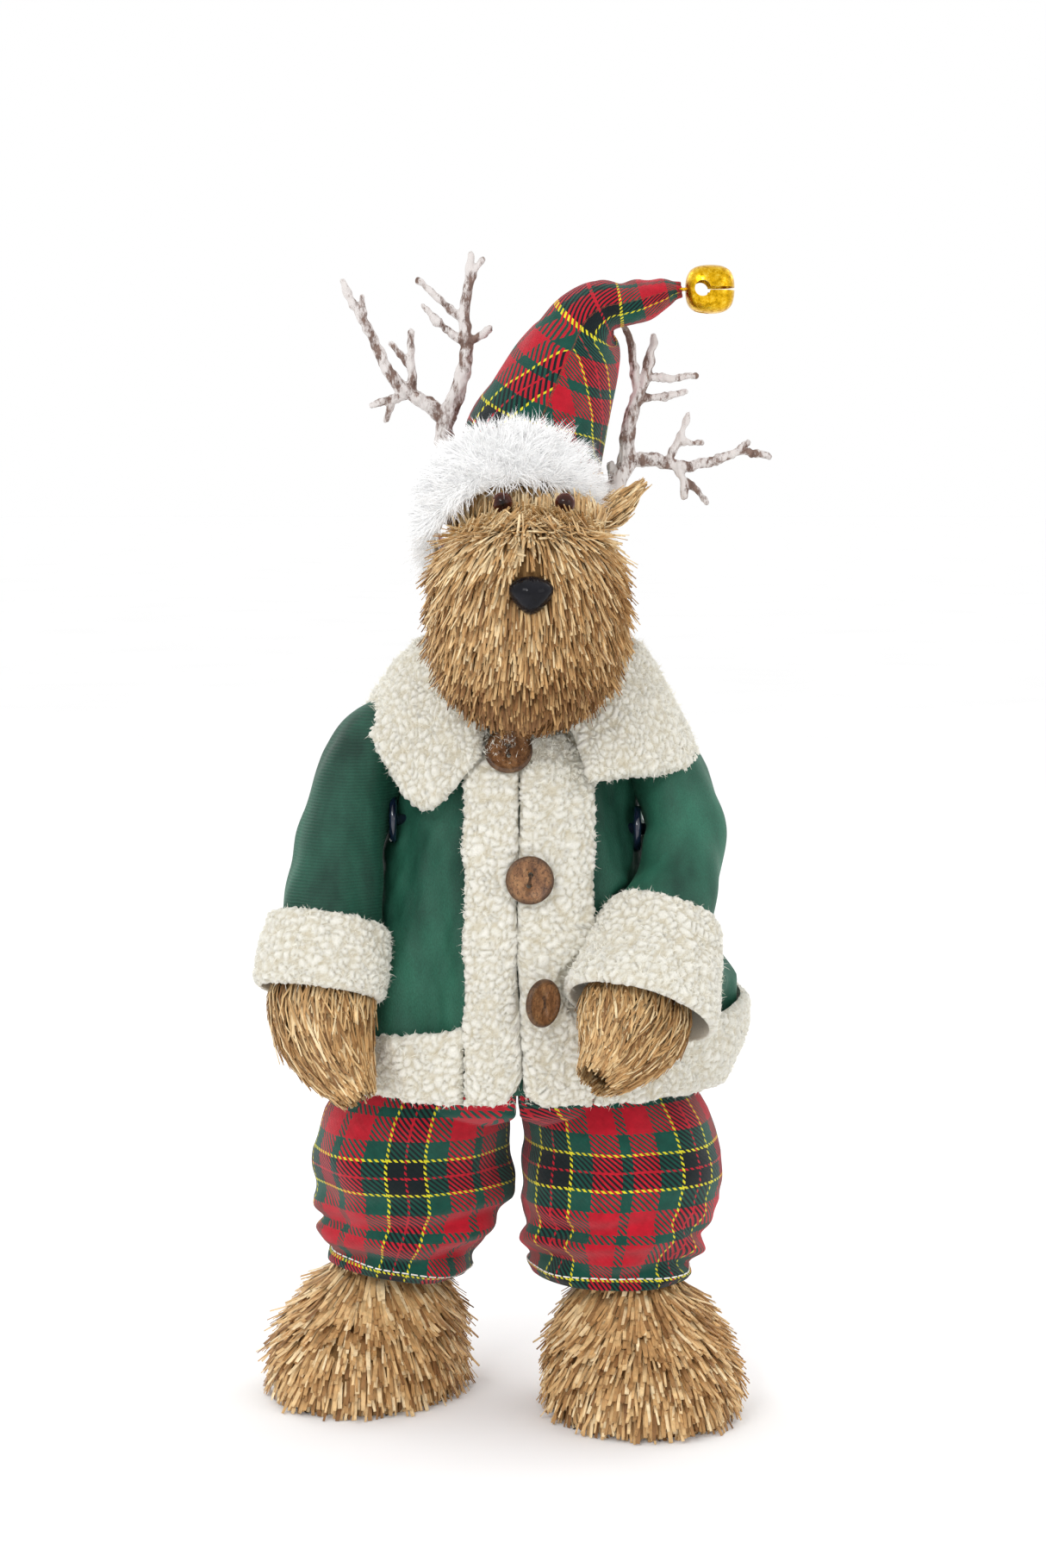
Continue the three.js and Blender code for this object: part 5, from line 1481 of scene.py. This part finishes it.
def seat_reach(centre, way, z, out):
    """How far it is from a leg's centre to the seat's outline, and to the gap between the legs."""
    heights = (126, 134, 148, 164)
    wide, deep = np.interp(z, heights, (70, 79, 78, 74)), np.interp(z, heights, (36, 42, 50, 50))
    px, py = centre[:, :1] - 1.0, centre[:, 1:2]
    a = (way[..., 0] / wide) ** 2 + (way[..., 1] / deep) ** 2
    b = px * way[..., 0] / wide**2 + py * way[..., 1] / deep**2
    c = (px / wide) ** 2 + (py / deep) ** 2 - 1
    hip = (-b + np.sqrt(np.maximum(b**2 - a * c, 0))) / a
    inward = way[..., 0] * -out
    return hip, np.where(inward > 1e-3, (np.abs(px) - 0.4) / np.maximum(inward, 1e-3), 1e3)


def hem_stitches(name, ring, centre, thread):
    """Running stitches along a closed ring of points."""
    walked = np.concatenate([[0], np.cumsum(np.linalg.norm(np.roll(ring, -1, axis=0) - ring, axis=1))])
    starts = np.arange(0, walked[-1] - STITCH_LENGTH, STITCH_STEP)
    loop = np.concatenate([ring, ring[:1]])
    heads, tails = (stacked(*(np.interp(at, walked, loop[:, axis]) for axis in range(3)))
                    for at in (starts, starts + STITCH_LENGTH))
    facing = unit((heads - centre) * (1, 1, 0))
    strands(name, heads, tails - heads, facing, np.linalg.norm(tails - heads, axis=1), np.full(len(heads), 0.7),
            np.random.default_rng(81), thread, "root", flat=1.0, slot="tartan")


class REINDEER_OT_trousers(ReindeerOperator):
    """Tartan trousers with white topstitched hems"""

    bl_idname = "reindeer.trousers"
    bl_label = "Trousers"

    def build(self, sizes):
        tartan = finish_of("tartan", tartan_finish)
        thread = speckled("white_thread", 1200, linear((0.84, 0.83, 0.80)), linear((0.97, 0.96, 0.94)),
                          Roughness=0.8)
        columns, rows = 240, 150
        slants, starts = {"right": 0.16, "left": 0.03}, {"right": 0.018, "left": 0.047}
        for side in SIDES:
            out = OUT[side]
            form = Form(LEG_FORM[side], upright=True)
            share, angle = spread(columns, rows)
            leg = form.point(share, angle, -0.3)
            centre = form.along(share[:, 0])[0]
            z = centre[:, 2][:, None]
            ray = leg - centre[:, None]
            ray[..., 2] = 0
            way = unit(ray)
            hip, wall = seat_reach(centre, way, z, out)
            join = smooth(z, 112, 136)
            size = np.linalg.norm(ray, axis=-1)
            size = np.maximum(size, np.minimum(hip, wall) * join)
            size = np.minimum(size, np.where(z > 90, wall, 1e3))
            outer = centre[:, None] + way * size[..., None]
            low = smooth(z, 104, 66)
            hang = 1.6 * swell(outer * (1, 1, 0.45), 34, 71 + out) * (1 - 0.6 * join)
            bunch = low * (2.3 * np.sin(z * 0.36 + 1.6 * swell(outer, 60, 73 + out)) + 1.2
                           * swell(outer * (0.6, 0.6, 1.6), 20, 75))
            drop = (1 - smooth(z, 63, 58) * 0.8) * (1 + 0.6 * smooth(-way[..., 1], -0.1, 0.6))
            ruck = 0.9 * np.sin(z * 0.2 + 3.0 * swell(outer, 110, 77 + out)) * (1 - join) * (1 - low)
            outer = outer + way * ((hang + bunch * drop + ruck) * 0.9)[..., None]
            slant = smooth(z, 90, 57) * (outer[..., 0] - centre[:, :1])
            outer[..., 2] = outer[..., 2] - slant * slants[side]
            inner = outer - way * millimetres("tartan_thickness")
            around = np.linspace(0, 1, columns, endpoint=False)[None] * 0.2496 + 0 * z
            fall = np.concatenate([[0], np.cumsum(np.linalg.norm(np.diff(outer[:, columns * 3 // 4], axis=0),
                                                                 axis=1))]) * 0.001
            uv = stacked(around + starts[side], fall[:, None] + 0.021)
            made = shell(f"trouser_leg_{side}", outer, inner, True, tartan, "root", slot="tartan",
                         replaces=["trousers"] if side == "right" else (), uv=np.concatenate([uv, uv]))
            row = int(np.argmin(np.abs(z[:, 0] - STITCH_HEIGHT[side])))
            hem_stitches(f"hem_stitch_{side}", outer[row] + way[row] * 0.15, centre[row], thread)


class REINDEER_PT_panel(bpy.types.Panel):
    """The figure's sizes, colours and steps"""

    bl_label = "Straw Reindeer"
    bl_idname = "REINDEER_PT_panel"
    bl_space_type = "VIEW_3D"
    bl_region_type = "UI"
    bl_category = "Reindeer"

    def draw(self, context):
        for heading, group in (("Sizes", context.scene.reindeer_sizes),
                               ("Colours", context.scene.reindeer_colours)):
            box = self.layout.box()
            box.label(text=heading)
            for key in group.__annotations__:
                box.prop(group, key)
        for step in STEPS:
            self.layout.operator(step.bl_idname)


STEPS = (
    REINDEER_OT_stage, REINDEER_OT_inside, REINDEER_OT_head, REINDEER_OT_face, REINDEER_OT_hands,
    REINDEER_OT_feet, REINDEER_OT_antlers, REINDEER_OT_hat, REINDEER_OT_brim, REINDEER_OT_bell,
    REINDEER_OT_coat, REINDEER_OT_trim, REINDEER_OT_sleeves, REINDEER_OT_cuffs, REINDEER_OT_buttons,
    REINDEER_OT_trousers,
)
CLASSES = (ReindeerColours, ReindeerSizes, *STEPS, REINDEER_PT_panel)


def register():
    for each in CLASSES:
        bpy.utils.register_class(each)
    bpy.types.Scene.reindeer_colours = PointerProperty(type=ReindeerColours)
    bpy.types.Scene.reindeer_sizes = PointerProperty(type=ReindeerSizes)


def unregister():
    del bpy.types.Scene.reindeer_sizes
    del bpy.types.Scene.reindeer_colours
    for each in reversed(CLASSES):
        bpy.utils.unregister_class(each)


def main():
    """Builds the whole figure."""
    register()
    for step in STEPS:
        group, name = step.bl_idname.split(".")
        getattr(getattr(bpy.ops, group), name)()


if __name__ == "__main__":
    main()
